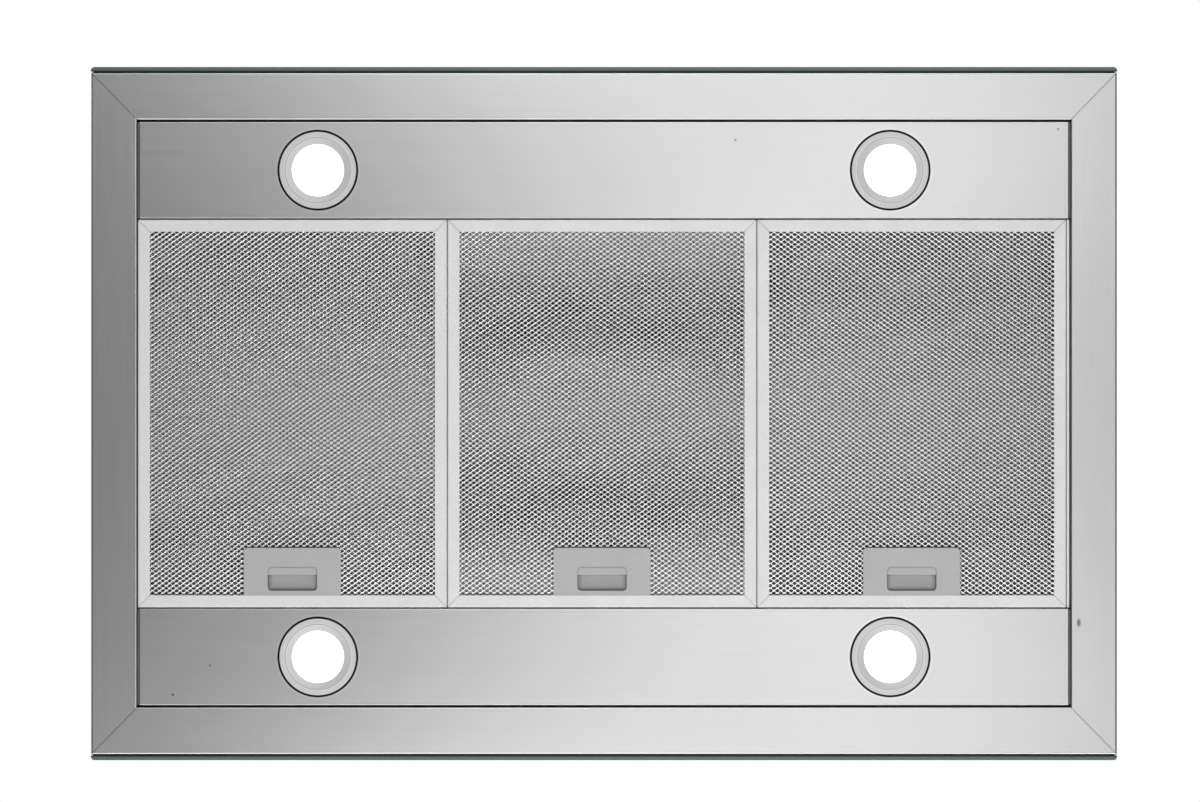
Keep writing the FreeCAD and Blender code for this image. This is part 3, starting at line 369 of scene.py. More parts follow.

# %% [markdown]
# ## Aluminium
# The filter frames are etched and anodised extrusions: bright, even and almost without reflections,
# with faint draw lines along them. Cast and turned aluminium, as on lamps and heat sinks, is glossier.
# Both share one recipe with different numbers, because they differ only in grain and gloss. On the latches the
# recipe also paints shade into the finger scoop and its gaps, and on the lamp bezels it paints shade and
# highlights on their rings.

# %% Aluminium finishes
def aluminium(name, colour, metallic, roughness, grain, contrast=0.04, marks=None):
    """Aluminium with a grain of the given repeats per metre on each axis, a soft mottle, and its own marks:
    hairlines on the filter frames, painted shade and highlights on the latches and bezels.
    """
    metal, tree, shader = new_finish(name, colour, metallic, roughness)
    lines = noise(tree, grain, 3.0, 0.6)
    mottle = noise(tree, (45.0, 45.0, 45.0), 3.0)
    tone = blend(tree, spread(tree, lines, 0.0, 1.0), tint(colour, 1 - contrast), tint(colour, 1 + contrast))
    wear_and_shade = blend(tree, spread(tree, mottle, 0.0, 0.4), tone, tint(colour, 1 - 1.5 * contrast))
    if marks:
        wear_and_shade = marks(tree, wear_and_shade)
    tree.links.new(wear_and_shade, shader.inputs["Base Color"])
    tree.links.new(spread(tree, mottle, roughness - 0.04, roughness + 0.05), shader.inputs["Roughness"])
    raise_surface(tree, shader, lines, 0.000006, 0.4)
    return metal


def filter_mitres(tree, colour):
    """A hairline where the mitred channels of a filter frame meet, on all three filters at once."""
    x, y, _ = axes(tree)
    from_middle = calc(tree, "SUBTRACT", x, FILTER_MIDDLES[1])
    wrapped = node(tree, "Math", {0: from_middle, 1: FILTER_PITCH / 2, 2: -FILTER_PITCH / 2}, operation="WRAP")
    level = calc(tree, "SUBTRACT", calc(tree, "ABSOLUTE", y), calc(tree, "ABSOLUTE", wrapped.outputs[0]))
    return shade(tree, colour, 0.35, line_at(tree, level, FILTER_HALF[1] - FILTER_HALF[0], 0.0001, 0.0006))


def latch_painted_shade(middle_x):
    """Painted shade on one latch: a dark line round the scoop, darker sides and front deep in it, a painted shadow
    under its lip, darker walls, a dark line at the plate's front, and a darker bolt.
    """
    def marks(tree, colour):
        x, y, z = axes(tree)
        side = calc(tree, "ABSOLUTE", calc(tree, "SUBTRACT", x, middle_x))
        end = calc(tree, "ABSOLUTE", calc(tree, "SUBTRACT", y, WINDOW_FRONT + WINDOW_DEPTH / 2))
        corner_x = calc(tree, "MAXIMUM", calc(tree, "SUBTRACT", side, WINDOW_HALF - CORNER), 0.0)
        corner_y = calc(tree, "MAXIMUM", calc(tree, "SUBTRACT", end, WINDOW_DEPTH / 2 - CORNER), 0.0)
        past = calc(tree, "SUBTRACT", reach_from(tree, corner_x, corner_y, 0.0, 0.0), CORNER)
        # Painted shade: a dark line round the scoop's window, where the plate, the lip and the scoop meet.
        colour = shade(tree, colour, 0.28, line_at(tree, past, 0.0, 0.0001, 0.0007))
        inside = calc(tree, "MULTIPLY", calc(tree, "LESS_THAN", past, 0.0), calc(tree, "LESS_THAN", y, LIP_EDGE))
        cavity = calc(tree, "MULTIPLY", inside, calc(tree, "GREATER_THAN", z, PLATE_BACK))
        # Painted shade deep in the scoop: darker by its sides and at its front, and a painted shadow under the
        # lip.
        for mask in (spread(tree, past, 0.0, 0.37, -0.0042, 0.0),
                     spread(tree, y, 0.30, 0.0, WINDOW_FRONT, WINDOW_FRONT + 0.004),
                     spread(tree, y, 0.0, 0.38, LIP_EDGE - 0.0013, LIP_EDGE)):
            colour = shade(tree, colour, 1.0, calc(tree, "MULTIPLY", mask, cavity))
        # Painted shade: a dark line along the plate's front edge.
        front_line = line_at(tree, y, PLATE_FRONT, 0.0004, 0.0008)
        front_edge_shade = calc(tree, "MULTIPLY", front_line, calc(tree, "LESS_THAN", z, PLATE_BACK))
        # The bolt past the plate's front is painted darker, and so are the upright walls, a painted shade.
        bolt = calc(tree, "LESS_THAN", y, PLATE_FRONT - 0.004)
        walls = calc(tree, "MULTIPLY", upright(tree, 0.2, 0.85), 0.5)
        return shade(tree, shade(tree, colour, 0.35, front_edge_shade), 0.75, calc(tree, "MAXIMUM", bolt, walls))
    return marks


def bezel_painted_light(tree, colour):
    """Painted light on all four bezels: painted shade in the groove between flange and ring, painted highlights on
    its two lips, and painted shade at the outer rim.
    """
    x, y, _ = axes(tree)
    reach = reach_from(tree, calc(tree, "ABSOLUTE", x), calc(tree, "ABSOLUTE", y), *LAMP_PLACE)
    # Painted shade in the groove and at the rim, and painted highlights on the groove's two lips.
    groove = line_at(tree, reach, BEZEL_GROOVE, 0.0001, 0.0005)
    lips = line_at(tree, reach, BEZEL_GROOVE, 0.0009, 0.0016)
    rim = spread(tree, reach, 0.0, 1.0, BEZEL_RIM, BEZEL_RIM + 0.0003)
    lit = blend(tree, calc(tree, "SUBTRACT", lips, groove), colour, scaled(tree, colour, 1.1))
    return shade(tree, shade(tree, lit, 0.4, groove), 0.85, rim)


filters = ("left", "middle", "right")
FILTER_MIDDLES = [sum(corner.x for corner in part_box(f"filter_frame_{place}")) / 2 for place in filters]
FILTER_PITCH = FILTER_MIDDLES[1] - FILTER_MIDDLES[0]
frame_low, frame_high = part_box("filter_frame_middle")
FILTER_HALF = ((frame_high.x - frame_low.x) / 2, frame_high.y)
plate_low, plate_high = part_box("latch_plate_middle")
PLATE_FRONT, PLATE_BACK = plate_low.y, 0.0019
WINDOW_HALF, WINDOW_FRONT, LIP_EDGE = 0.0215, plate_low.y + 0.0042, plate_low.y + 0.018
WINDOW_DEPTH, CORNER = 0.0205, 0.0045
BEZEL_GROOVE, BEZEL_RIM = 0.0286, 0.0333
print("filter middles", FILTER_MIDDLES, "half size", FILTER_HALF, "plate", plate_low, plate_high)

etched = aluminium("etched_aluminium", (0.82,) * 3, 0.35, 0.55, (500.0,) * 3, marks=filter_mitres)
paint(etched, "side_strip", *[f"filter_frame_{place}" for place in filters])
for place, middle in zip(filters, FILTER_MIDDLES):
    latch = aluminium(f"latch_aluminium_{place}", (0.50,) * 3, 0.25, 0.5, (700.0,) * 3, 0.03, latch_painted_shade(middle))
    paint(latch, f"latch_plate_{place}", f"latch_slide_{place}")
paint(aluminium("bezel_aluminium", (0.66,) * 3, 0.15, 0.45, (900.0,) * 3, 0.03, bezel_painted_light), "lamp_bezels")
paint(aluminium("sink_aluminium", (0.72, 0.72, 0.73), 0.9, 0.42, (600.0, 600.0, 80.0), 0.06), "lamp_heat_sinks")

# %% [markdown]
# ## Small steel parts
# Rods, springs and clips are drawn or stamped from bright steel. The draw marks run along the wire or
# the strip, and at this size they only break up the reflections a little.

# %% Bright steel parts
def bright_steel(name, colour, roughness, grain):
    """Bright metal with fine draw marks that change its gloss."""
    steel, tree, shader = new_finish(name, colour, 1.0, roughness)
    marks = noise(tree, grain, 3.0, 0.6)
    tone = blend(tree, spread(tree, marks, 0.0, 1.0), tint(colour, 0.85), colour)
    tree.links.new(tone, shader.inputs["Base Color"])
    tree.links.new(spread(tree, marks, roughness, roughness + 0.15), shader.inputs["Roughness"])
    raise_surface(tree, shader, marks, 0.000006, 0.3)
    return steel


paint(bright_steel("drawn_rod", (0.62, 0.62, 0.63), 0.25, (60.0, 3000.0, 3000.0)), "motor_shaft",
      *[f"hinge_rod_{place}" for place in filters])
spring_steel = bright_steel("spring_steel", (0.55, 0.56, 0.58), 0.28, (900.0, 900.0, 900.0))
paint(spring_steel, "lamp_clips")

# %% [markdown]
# ## Moulded plastic, rubber and lacquer
# Plastic housings carry the fine spark-eroded grain of their mould, which keeps them from shining.
# Rubber is smoother but duller, and the motor's lacquer has the slight orange peel of sprayed paint.
# One recipe serves them all: a grain size, a depth and two close tones.

# %% Plastics and coatings
def moulded(name, colour, roughness, grain=2400.0, depth=0.00003, contrast=0.12, **sockets):
    """A dull surface with an even grain, and a cloudy change of tone as dust and handling leave."""
    skin, tree, shader = new_finish(name, colour, 0.0, roughness, **sockets)
    pits = noise(tree, (grain,) * 3, 3.0, 0.6)
    clouds = noise(tree, (22.0, 22.0, 22.0), 3.0)
    tone = blend(tree, spread(tree, clouds, 0.0, 1.0), tint(colour, 1 - contrast), tint(colour, 1 + contrast))
    tree.links.new(tone, shader.inputs["Base Color"])
    tree.links.new(spread(tree, pits, roughness - 0.06, roughness + 0.08), shader.inputs["Roughness"])
    raise_surface(tree, shader, pits, depth, 0.5)
    return skin


paint(moulded("duct_plastic", (0.030, 0.030, 0.032), 0.48), "duct_collar")
paint(moulded("flap_plastic", (0.022, 0.022, 0.024), 0.42), "damper_flap_left", "damper_flap_right")
paint(moulded("impeller_plastic", (0.020, 0.020, 0.022), 0.40), "impeller")
paint(moulded("control_plastic", (0.075, 0.078, 0.085), 0.45), "control_box", "control_box_lid")
paint(moulded("gland_plastic", (0.012, 0.012, 0.012), 0.38, 1500.0), "cable_gland")
paint(moulded("motor_lacquer", (0.018, 0.018, 0.020), 0.22, 900.0, 0.00002, Coat_Weight=0.4, Coat_Roughness=0.1),
      "motor")
paint(moulded("gasket_rubber", (0.004, 0.004, 0.004), 0.7, 1400.0, Specular_IOR_Level=0.1), "lamp_gaskets")
paint(moulded("tape_rubber", (0.007, 0.009, 0.010), 0.55, 1800.0), "bonding_tapes")

# %% [markdown]
# ## Circuit boards
# A board is a green lacquer over copper tracks. The tracks show through as slightly lighter, raised
# lines, and a brick pattern with wide gaps gives runs and turns of about the right size.

# %% Circuit board
board, tree, shader = new_finish("circuit_board", (0.02, 0.12, 0.05), 0.0, 0.3, Coat_Weight=0.3)
pattern = {"Vector": place_in(tree), "Scale": 160.0, "Mortar Size": 0.03, "Brick Width": 0.9, "Row Height": 0.35,
           "Color1": (0, 0, 0, 1), "Color2": (0.2, 0.2, 0.2, 1), "Mortar": (1, 1, 1, 1)}
tracks = node(tree, "TexBrick", pattern).outputs[0]
tree.links.new(blend(tree, tracks, (0.012, 0.085, 0.035), (0.05, 0.20, 0.09)), shader.inputs["Base Color"])
raise_surface(tree, shader, tracks, 0.00004, 0.5)
paint(board, "touch_board", "lamp_boards")

# %% [markdown]
# ## The lit lamps
# Behind each bezel sits a frosted lens in front of an LED board. A lit lens is a surface that gives off
# light: it is even, a little dimmer at its rim, and white in the photograph. The frosting's fine grain is a
# noise in the bump, and it makes the glow a little uneven too.

# %% Frosted, lit lenses
lens, tree, shader = new_finish("lit_lens", (0.92, 0.92, 0.90), 0.0, 0.45)
frost = noise(tree, (1200.0, 1200.0, 1200.0), 2.0)
raise_surface(tree, shader, frost, 0.00003, 0.4)
shader.inputs["Emission Color"].default_value = (1.0, 0.995, 0.98, 1.0)
x, y, _ = axes(tree)
reach = reach_from(tree, calc(tree, "ABSOLUTE", x), calc(tree, "ABSOLUTE", y), *LAMP_PLACE)
DIM_START, DIM_END = 0.0214, 0.0229
glow = calc(tree, "MULTIPLY", spread(tree, frost, 1.9, 2.1), spread(tree, reach, 1.0, 0.38, DIM_START, DIM_END))
tree.links.new(glow, shader.inputs["Emission Strength"])
paint(lens, "lamp_lenses")

# %% [markdown]
# ## The filter mesh
# A grease filter is a stack of expanded aluminium: a thin sheet is slit and pulled until every slit opens
# into a diamond. What is left between the diamonds are strands, and each strand stays tilted out of the
# sheet, all of them towards the same side. That tilt makes the mesh glitter: strands that run one way
# catch the light and strands that run the other way don't. A flat picture of diamonds can't do that, so
# the strands are modelled, each as a short flat bar from one bond to the next. The layers have slightly
# different cells and don't line up, which gives the slow waves of light and dark over each filter.

# %% Strands as whole arrays
STRAND_WIDTH, DEEP_WIDTH, STRAND_THICKNESS = 0.00064, 0.0011, 0.0003
BOND_LENGTH, BOND_WIDTH = 0.0023, 1.8 * STRAND_WIDTH
LEAN, BOND_LEAN = math.radians(-33), math.radians(-16)
SHORTEST, WAVE = 0.0004, 0.00018


def prism_faces(count):
    """The three sides and two ends of each of count three-sided bars, as triangles."""
    one = np.array([[0, 2, 1], [3, 4, 5], [0, 1, 4], [0, 4, 3], [1, 2, 5], [1, 5, 4], [2, 0, 3], [2, 3, 5]])
    return (one[None] + 6 * np.arange(count)[:, None, None]).reshape(-1, 3)


def strand_ends(cell, half, bay, offset):
    """Both ends of every strand of a sheet.

    Bonds sit at half cells (a, b) with a + b even. From each bond one strand goes half a cell along X and
    half a cell up, and one goes half a cell down. Strands outside the sheet or in the latch bay are left
    out, those that run into the bay are cut off at its rear edge, and a slow wave then moves every end
    a little, as a pulled sheet is never quite even.
    """
    a, b = np.meshgrid(np.arange(-120, 121), np.arange(-160, 161), indexing="ij")
    bond = (a + b) % 2 == 0
    start = np.stack([a[bond], b[bond]], 1).astype(float)
    pairs = np.concatenate([np.stack([start, start + (1, 1)], 1), np.stack([start, start + (1, -1)], 1)])
    ends = pairs * np.array(cell) / 2 + np.array(offset)
    inside = (np.abs(ends) < np.array(half)).all(axis=(1, 2))
    in_bay = (np.abs(ends[..., 0]) < bay[0]) & (ends[..., 1] < bay[1])
    kept = inside & ~in_bay.all(axis=1)
    ends, in_bay = ends[kept], in_bay[kept]
    rise = ends[:, 1, 1] - ends[:, 0, 1]
    cut = np.clip((bay[1] - ends[:, 0, 1]) / rise, 0.0, 1.0)[:, None]
    crossing = ends[:, 0] + cut * (ends[:, 1] - ends[:, 0])
    ends = np.where(in_bay[..., None], crossing[:, None], ends)
    ends = ends[np.linalg.norm(ends[:, 1] - ends[:, 0], axis=1) > SHORTEST]
    sway = np.sin(ends[..., ::-1] * np.array([37.0, 29.0]) + np.array([0.7, 2.1]))
    return ends + WAVE * sway


def bond_ends(ends):
    """Both ends of the flat bond at the start of every strand, which lies along X and is shared by four."""
    start = np.unique(np.round(ends[:, 0], 7), axis=0)
    half = np.array([BOND_LENGTH / 2, 0.0])
    return np.stack([start - half, start + half], 1)


def strand_bars(ends, centre_x, level, width, lean):
    """Bars round the strands: across is the strand's normal in the sheet, leaned out of it by an angle."""
    run = ends[:, 1] - ends[:, 0]
    run /= np.linalg.norm(run, axis=1, keepdims=True)
    flat = np.stack([-run[:, 1], run[:, 0]], 1) * np.sign(run[:, :1])
    across = np.concatenate([flat * math.cos(lean), np.full((len(ends), 1), math.sin(lean))], 1)
    outward = np.cross(np.concatenate([run, np.zeros((len(ends), 1))], 1), across)
    middle = np.concatenate([ends, np.full((*ends.shape[:2], 1), level)], 2)
    middle[..., 0] += centre_x
    flat_face = -np.sign(outward[:, 2:])
    corner = [(-0.5, 0.5), (0.5, 0.5), (0.0, -0.5)]
    lift = STRAND_THICKNESS * flat_face * outward
    rings = [middle + u * width * across[:, None] + v * lift[:, None] for u, v in corner]
    return np.stack(rings, 2).reshape(-1, 3)


def expanded_sheet(name, layers, half, centre_x, finish):
    """One piece of mesh from one or more layers: (level, cell, offset, bay, strand width, with bonds)."""
    points, faces, count = [], [], 0
    for level, cell, offset, bay, width, bonded in layers:
        ends = strand_ends(cell, half, bay, offset)
        runs = [(ends, width, LEAN)] + ([(bond_ends(ends), BOND_WIDTH, BOND_LEAN)] if bonded else [])
        for run, wide, lean in runs:
            bars = strand_bars(run, centre_x, level, wide, lean)
            points.append(bars)
            faces.append(prism_faces(len(run)) + count)
            count += len(bars)
    mesh = bpy.data.meshes.new(name)
    mesh.from_pydata(np.concatenate(points), [], np.concatenate(faces).tolist())
    piece = bpy.data.objects.new(name, mesh)
    bpy.context.scene.collection.objects.link(piece)
    mesh.materials.append(finish)
    print(name, len(mesh.polygons), "faces")
    return piece

# %% [markdown]
# ## Strands painted bright and dark
# All strands are bare aluminium. Those of the face are the brightest, and those deeper in the stack are
# painted darker, a painted shade for the shadow that the sheets in front cast on them. A fine noise changes
# the tone from strand to strand. Every sheet is also painted darker across its middle than towards its front
# and rear ends, and each filter has its own tones, painted lighter or darker for the light that falls on it.
# Behind the finger scoop the sheets leave a bay for the latch, and the inner sheet's bay is a little wider,
# to clear its slide.

# %% Mesh finishes and the three filters
def strand_metal(name, tone, roughness, contrast):
    """Bare aluminium whose tone changes from strand to strand, with painted shade that darkens it away from the
    ends.
    """
    colour = (tone,) * 3
    metal, tree, shader = new_finish(name, colour, 0.6, roughness)
    change = noise(tree, (420.0, 420.0, 420.0), 1.0)
    varied = blend(tree, spread(tree, change, 0.0, 1.0), tint(colour, 1 - contrast), tint(colour, 1 + contrast))
    # Painted shade: darker across the middle of the filter, lighter towards its front and rear ends, where the
    # strands catch more light.
    wear_and_shade = spread(tree, calc(tree, "ABSOLUTE", axes(tree)[1]), 1.0, 0.0, 0.11, 0.155)
    tree.links.new(shade(tree, varied, 0.16, wear_and_shade), shader.inputs["Base Color"])
    tree.links.new(spread(tree, change, roughness + 0.06, roughness - 0.06), shader.inputs["Roughness"])
    return metal


CELL, DEEP_CELL = (0.00602, 0.00430), (0.00630, 0.00468)
BAY, INNER_BAY, NO_BAY = (0.0302, -0.1190), (0.0345, -0.1186), (0.0, -1.0)
METALS = (("face", 0.42, 0.05), ("inner", 0.42, 0.10), ("deep", 0.45, 0.12))
# For each filter: how far its cells are shifted, the cell of its inner sheet, and its three tones, which are
# painted light and shade: darker for the deeper sheets, and lighter or darker from filter to filter.
SHEETS = {"left": (0.0, (0.00602, 0.00424), (1.0, 0.36, 0.30)),
          "middle": (0.0011, (0.00600, 0.00418), (0.89, 0.35, 0.29)),
          "right": (0.0019, (0.00604, 0.00425), (0.86, 0.42, 0.40))}
for place, (shift, inner_cell, lit_and_shaded_tones) in SHEETS.items():
    low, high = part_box(f"face_mesh_{place}")
    pack_low, pack_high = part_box(f"mesh_pack_{place}")
    layers = [[(low.z + 0.0003, CELL, (shift, 0.0), BAY, STRAND_WIDTH, True)],
              [(pack_low.z + 0.0006, inner_cell, (shift + CELL[0] / 2, 0.0), INNER_BAY, STRAND_WIDTH, True)],
              [(pack_low.z + 0.0032, DEEP_CELL, (0.0, shift), BAY, DEEP_WIDTH, False),
               (pack_high.z - 0.0005, CELL, (shift, 0.0006), NO_BAY, DEEP_WIDTH, False)]]
    face, inner, deep = [
        expanded_sheet(f"{layer}_strands_{place}", sheets, ((high.x - low.x) / 2, high.y), (low.x + high.x) / 2,
                       strand_metal(f"{layer}_strands_{place}", tone, rough, contrast))
        for (layer, rough, contrast), tone, sheets in zip(METALS, lit_and_shaded_tones, layers)]
    for sheet in (face, inner, deep):
        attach(sheet, f"filter_{place}")
    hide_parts(f"face_mesh_{place}")
    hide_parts(f"mesh_pack_{place}")

# %% [markdown]
# ## Latch springs
# A spring is wire on a helix: a small circle swept along it. Each spring sits between the slide's tab and
# a fixed stop, so when the slide travels it gets shorter by as much. The CAD spring can't do that, and a coil
# made here stands in for it: it is built once, at rest, and rides with its filter.

# %% Coil springs
def grid_faces(rows, around, closed=False):
    """Quads of a grid that closes round each row, and also from its last row to its first if closed."""
    i, j = np.meshgrid(np.arange(rows if closed else rows - 1), np.arange(around), indexing="ij")
    after, following = (i + 1) % rows * around, (j + 1) % around
    quads = [i * around + j, i * around + following, after + following, after + j]
    return np.stack(quads, -1).reshape(-1, 4)


def coil(low, high, wire, turns, per_turn=18, around=8):
    """A coil along Y between two corners: a circle of wire at each step of a helix, closed at both ends."""
    a = np.linspace(0, 2 * np.pi * turns, turns * per_turn + 1)[:, None]
    p = np.linspace(0, 2 * np.pi, around, endpoint=False)[None]
    reach = (high[0] - low[0]) / 2 - wire + wire * np.cos(p)
    rise = low[1] + wire + a / (2 * np.pi * turns) * (high[1] - low[1] - 2 * wire) + wire * np.sin(p)
    middle_x, middle_z = (low[0] + high[0]) / 2, (low[2] + high[2]) / 2
    tube = np.stack([middle_x + reach * np.cos(a), rise, middle_z + reach * np.sin(a)], -1)
    ends = [np.repeat(tube[k].mean(0)[None], around, axis=0)[None] for k in (0, -1)]
    rings = np.concatenate([ends[0], tube, ends[1]])
    return rings.reshape(-1, 3), grid_faces(len(rings), around)


def welded(name, points, faces, finish, smooth=40.0):
    """A mesh whose coincident points, as at a pole, are joined, shaded smooth up to an angle."""
    mesh = bpy.data.meshes.new(name)
    mesh.from_pydata(points, [], faces.tolist())
    shape = bmesh.new()
    shape.from_mesh(mesh)
    bmesh.ops.remove_doubles(shape, verts=shape.verts, dist=1e-6)
    bmesh.ops.recalc_face_normals(shape, faces=shape.faces)
    shape.to_mesh(mesh)
    shape.free()
    mesh.shade_smooth()
    mesh.set_sharp_from_angle(angle=math.radians(smooth))
    piece = bpy.data.objects.new(name, mesh)
    bpy.context.scene.collection.objects.link(piece)
    mesh.materials.append(finish)
    return piece


WIRE_RADIUS, SPRING_TURNS, LATCH_TRAVEL, SPRING_CLEAR = 0.00025, 6, 0.005, 0.0001
for place in filters:
    low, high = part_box(f"latch_spring_{place}")
    spring = welded(f"latch_coil_{place}", *coil(low, high, WIRE_RADIUS, SPRING_TURNS), spring_steel)
    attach(spring, f"filter_{place}")
    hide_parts(f"latch_spring_{place}")
    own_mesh(spring)
print("coil", len(spring.data.polygons), "faces, from", low, "to", high)

# %% [markdown]
# ## Screws with a cross slot
# The CAD screws have plain round heads. A real one has a crown and a cross-shaped recess, and that is
# easy to give as a height over a disc: one circle of points for each of a few radii, where the height is
# a dome, less a depth wherever the point lies in one of two crossed slots. The seats follow from the
# boxes of what they hold: the pan's rim, the housing's feet and top, and the flange of the duct collar.

# %% Seats of the screws
def along(count, span):
    """Middles of equal shares of a span."""
    return [span * ((step + 0.5) / count - 0.5) for step in range(count)]


def framed(half_x, half_y, xs, ys, level):
    """Seats along the four sides of a rectangle."""
    long_sides = [(x, y, level) for x in xs for y in (-half_y, half_y)]
    return long_sides + [(x, y, level) for x in (-half_x, half_x) for y in ys]


top_low, top_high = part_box("housing_top")
duct_low, duct_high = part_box("duct_collar")
PAN_TOP, FEET_TOP, FLANGE_THICKNESS = 0.061, 0.062, 0.002
RIM_INSET, FEET_INSET, FLANGE_INSET = 0.007, 0.007, 0.0065
width, depth = 2 * top_high.x, 2 * top_high.y
seats = framed(side_high.x - RIM_INSET, rear_high.y - RIM_INSET, along(4, 2 * side_high.x),
               along(2, 2 * rear_high.y), PAN_TOP)
for level in (FEET_TOP, top_high.z):
    seats += framed(width / 2 - FEET_INSET, depth / 2 - FEET_INSET, along(2, width), along(2, depth), level)
duct_y, circle = (duct_low.y + duct_high.y) / 2, (duct_high.x - duct_low.x) / 2 - FLANGE_INSET
seats += [(circle * x, duct_y + circle * y, top_high.z + FLANGE_THICKNESS)
          for x, y in ((1, 0), (-1, 0), (0, 1), (0, -1))]

# %% Cross-slotted screws
HEAD_RADIUS, HEAD_HEIGHT, SLOT_HALF, SLOT_REACH, AROUND = 0.0040, 0.0024, 0.00045, 0.0026, 32


def screw_heads(seats):
    """Domed heads on a polar grid. height(r, t) = rim, then a dome; a cross of two slots is cut into it."""
    rings = np.array([0.0, 0.18, 0.3, 0.42, 0.55, 0.62, 0.8, 0.93, 1.0, 1.0, 0.0])
    levels = np.array([1.0, 1.0, 1.0, 0.99, 0.97, 0.95, 0.86, 0.72, 0.5, 0.0, 0.0])
    turn = np.linspace(0, 2 * np.pi, AROUND, endpoint=False)
    r, t = np.meshgrid(rings * HEAD_RADIUS, turn, indexing="ij")
    x, y = r * np.cos(t), r * np.sin(t)
    in_slot = (np.minimum(np.abs(x), np.abs(y)) < SLOT_HALF) & (r < SLOT_REACH)
    z = levels[:, None] * HEAD_HEIGHT - np.where(in_slot, 0.55 * HEAD_HEIGHT, 0.0)
    z[-2:] = 0.0
    head = np.stack([x, y, z], -1)
    points = (head.reshape(1, -1, 3) + np.array(seats)[:, None]).reshape(-1, 3)
    starts = head[..., 0].size * np.arange(len(seats))
    return points, (grid_faces(len(rings), AROUND)[None] + starts[:, None, None]).reshape(-1, 4)


zinc_plated = bright_steel("zinc_plated", (0.66, 0.67, 0.68), 0.24, (700.0, 700.0, 700.0))
heads = welded("screw_heads", *screw_heads(seats), zinc_plated)
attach(heads, "hood")
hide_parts("screws")

# %% [markdown]
# ## Pressed beads on the housing
# A flat sheet of this size drums when the blower runs, so a press raises two beads on each wall, one inside
# the other. A bead is a low rounded ridge along a rectangle with round corners. One function lays out the
# rectangle, another sweeps the ridge's profile along it, and the same pair serves all the walls.

# %% Beads swept round a rectangle
def round_rectangle(half_u, half_v, radius, per_corner=10):
    """Points and outward directions along a rectangle with round corners, as two arrays of (u, v)."""
    turn = np.linspace(0, np.pi / 2, per_corner)
    turns = np.concatenate([turn + np.pi / 2 * quarter for quarter in range(4)])
    out = np.stack([np.cos(turns), np.sin(turns)], 1)
    corners = np.array([(1, 1), (-1, 1), (-1, -1), (1, -1)]) * (half_u - radius, half_v - radius)
    return np.repeat(corners, per_corner, axis=0) + radius * out, out


def swept_ring(path, out, profile, centre, u, v, w):
    """A closed ridge: profile (across, up) follows the path in the plane of u and v, and rises along w."""
    across, up = np.array(profile).T
    flat = path[:, None] + across[None, :, None] * out[:, None]
    u, v, w = (np.array(axis, float) for axis in (u, v, w))
    points = np.array(centre) + flat[..., :1] * u + flat[..., 1:] * v + up[None, :, None] * w
    return points.reshape(-1, 3), grid_faces(*points.shape[:2], closed=True)


BEAD_HALF, BEAD_HEIGHT, BEAD_SUNK = 0.005, 0.0016, -0.0003
BEAD_INSET, BEAD_GAP, BEAD_CORNER = 0.045, 0.032, 0.018
swing = np.linspace(-1, 1, 9)
bead_profile = [(BEAD_HALF * t, BEAD_HEIGHT * math.cos(t * math.pi / 2) ** 2) for t in swing]
bead_profile = [(-BEAD_HALF, BEAD_SUNK)] + bead_profile + [(BEAD_HALF, BEAD_SUNK)]
middle_z, half_z = (PAN_TOP + top_low.z) / 2, (top_low.z - PAN_TOP) / 2 - BEAD_INSET
walls = [((0, side * depth / 2, middle_z), (side, 0, 0), (0, 0, 1), (0, side, 0), width / 2 - BEAD_INSET)
         for side in (-1, 1)]
walls += [((side * width / 2, 0, middle_z), (0, side, 0), (0, 0, 1), (side, 0, 0), depth / 2 - BEAD_INSET)
          for side in (-1, 1)]
bead_points, bead_faces, used = [], [], 0
for centre, u, v, w, half_u in walls:
    for shrink in (0.0, BEAD_GAP):
        path, out = round_rectangle(half_u - shrink, half_z - shrink, BEAD_CORNER - shrink / 4)
        points, quads = swept_ring(path, out, bead_profile, centre, u, v, w)
        bead_points.append(points)
        bead_faces.append(quads + used)
        used += len(points)
beads = welded("housing_beads", np.concatenate(bead_points), np.concatenate(bead_faces),
               galvanised("galvanised_beads", (0.56, 0.575, 0.59)))
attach(beads, "hood")
print("beads", len(beads.data.polygons), "faces")

# %% [markdown]
# ## The case of the lamp driver
# A moulded case has a draft, so that it leaves the mould, and a rounded shoulder. It is built as a stack
# of rounded rectangles: every step has a height and an inset, and a fan closes the top and bottom.

# %% A moulded case
def stacked_case(low, high, radius, steps):
    """A closed case between two corners. steps: (inset, share of the height) from the bottom to the top."""
    centre, half = [(a + b) / 2 for a, b in zip(low, high)], [(b - a) / 2 for a, b in zip(low, high)]
    rings = []
    for inset, share in steps:
        path, _ = round_rectangle(half[0] - inset, half[1] - inset, max(radius - inset / 2, 0.0004), 6)
        rings.append(np.column_stack([path + centre[:2], np.full(len(path), low[2] + share * (high[2] - low[2]))]))
    around = len(rings[0])
    ends = [np.repeat(ring.mean(0)[None], around, axis=0) for ring in (rings[0], rings[-1])]
    return np.concatenate([ends[0], *rings, ends[1]]), grid_faces(len(rings) + 2, around)


driver_low, driver_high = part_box("led_driver")
draft = [(0.0, 0.0), (0.0, 0.08), (0.0012, 0.09), (0.0016, 0.80), (0.0021, 0.90), (0.0032, 0.965), (0.0046, 1.0)]
driver = welded("driver_case", *stacked_case(driver_low, driver_high, 0.004, draft),
                moulded("driver_white", (0.68, 0.68, 0.66), 0.42, contrast=0.03))
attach(driver, "hood")
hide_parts("led_driver")
print("driver case", len(driver.data.polygons), "faces, from", driver_low, "to", driver_high)

# %% [markdown]
# ## Dark strips beside the light panels
# A light panel is a little shorter than the opening it hangs in. A dark strip in each of the four gaps
# stands in for the shade in the gap, a painted shade, so that from below it reads as one even dark line.

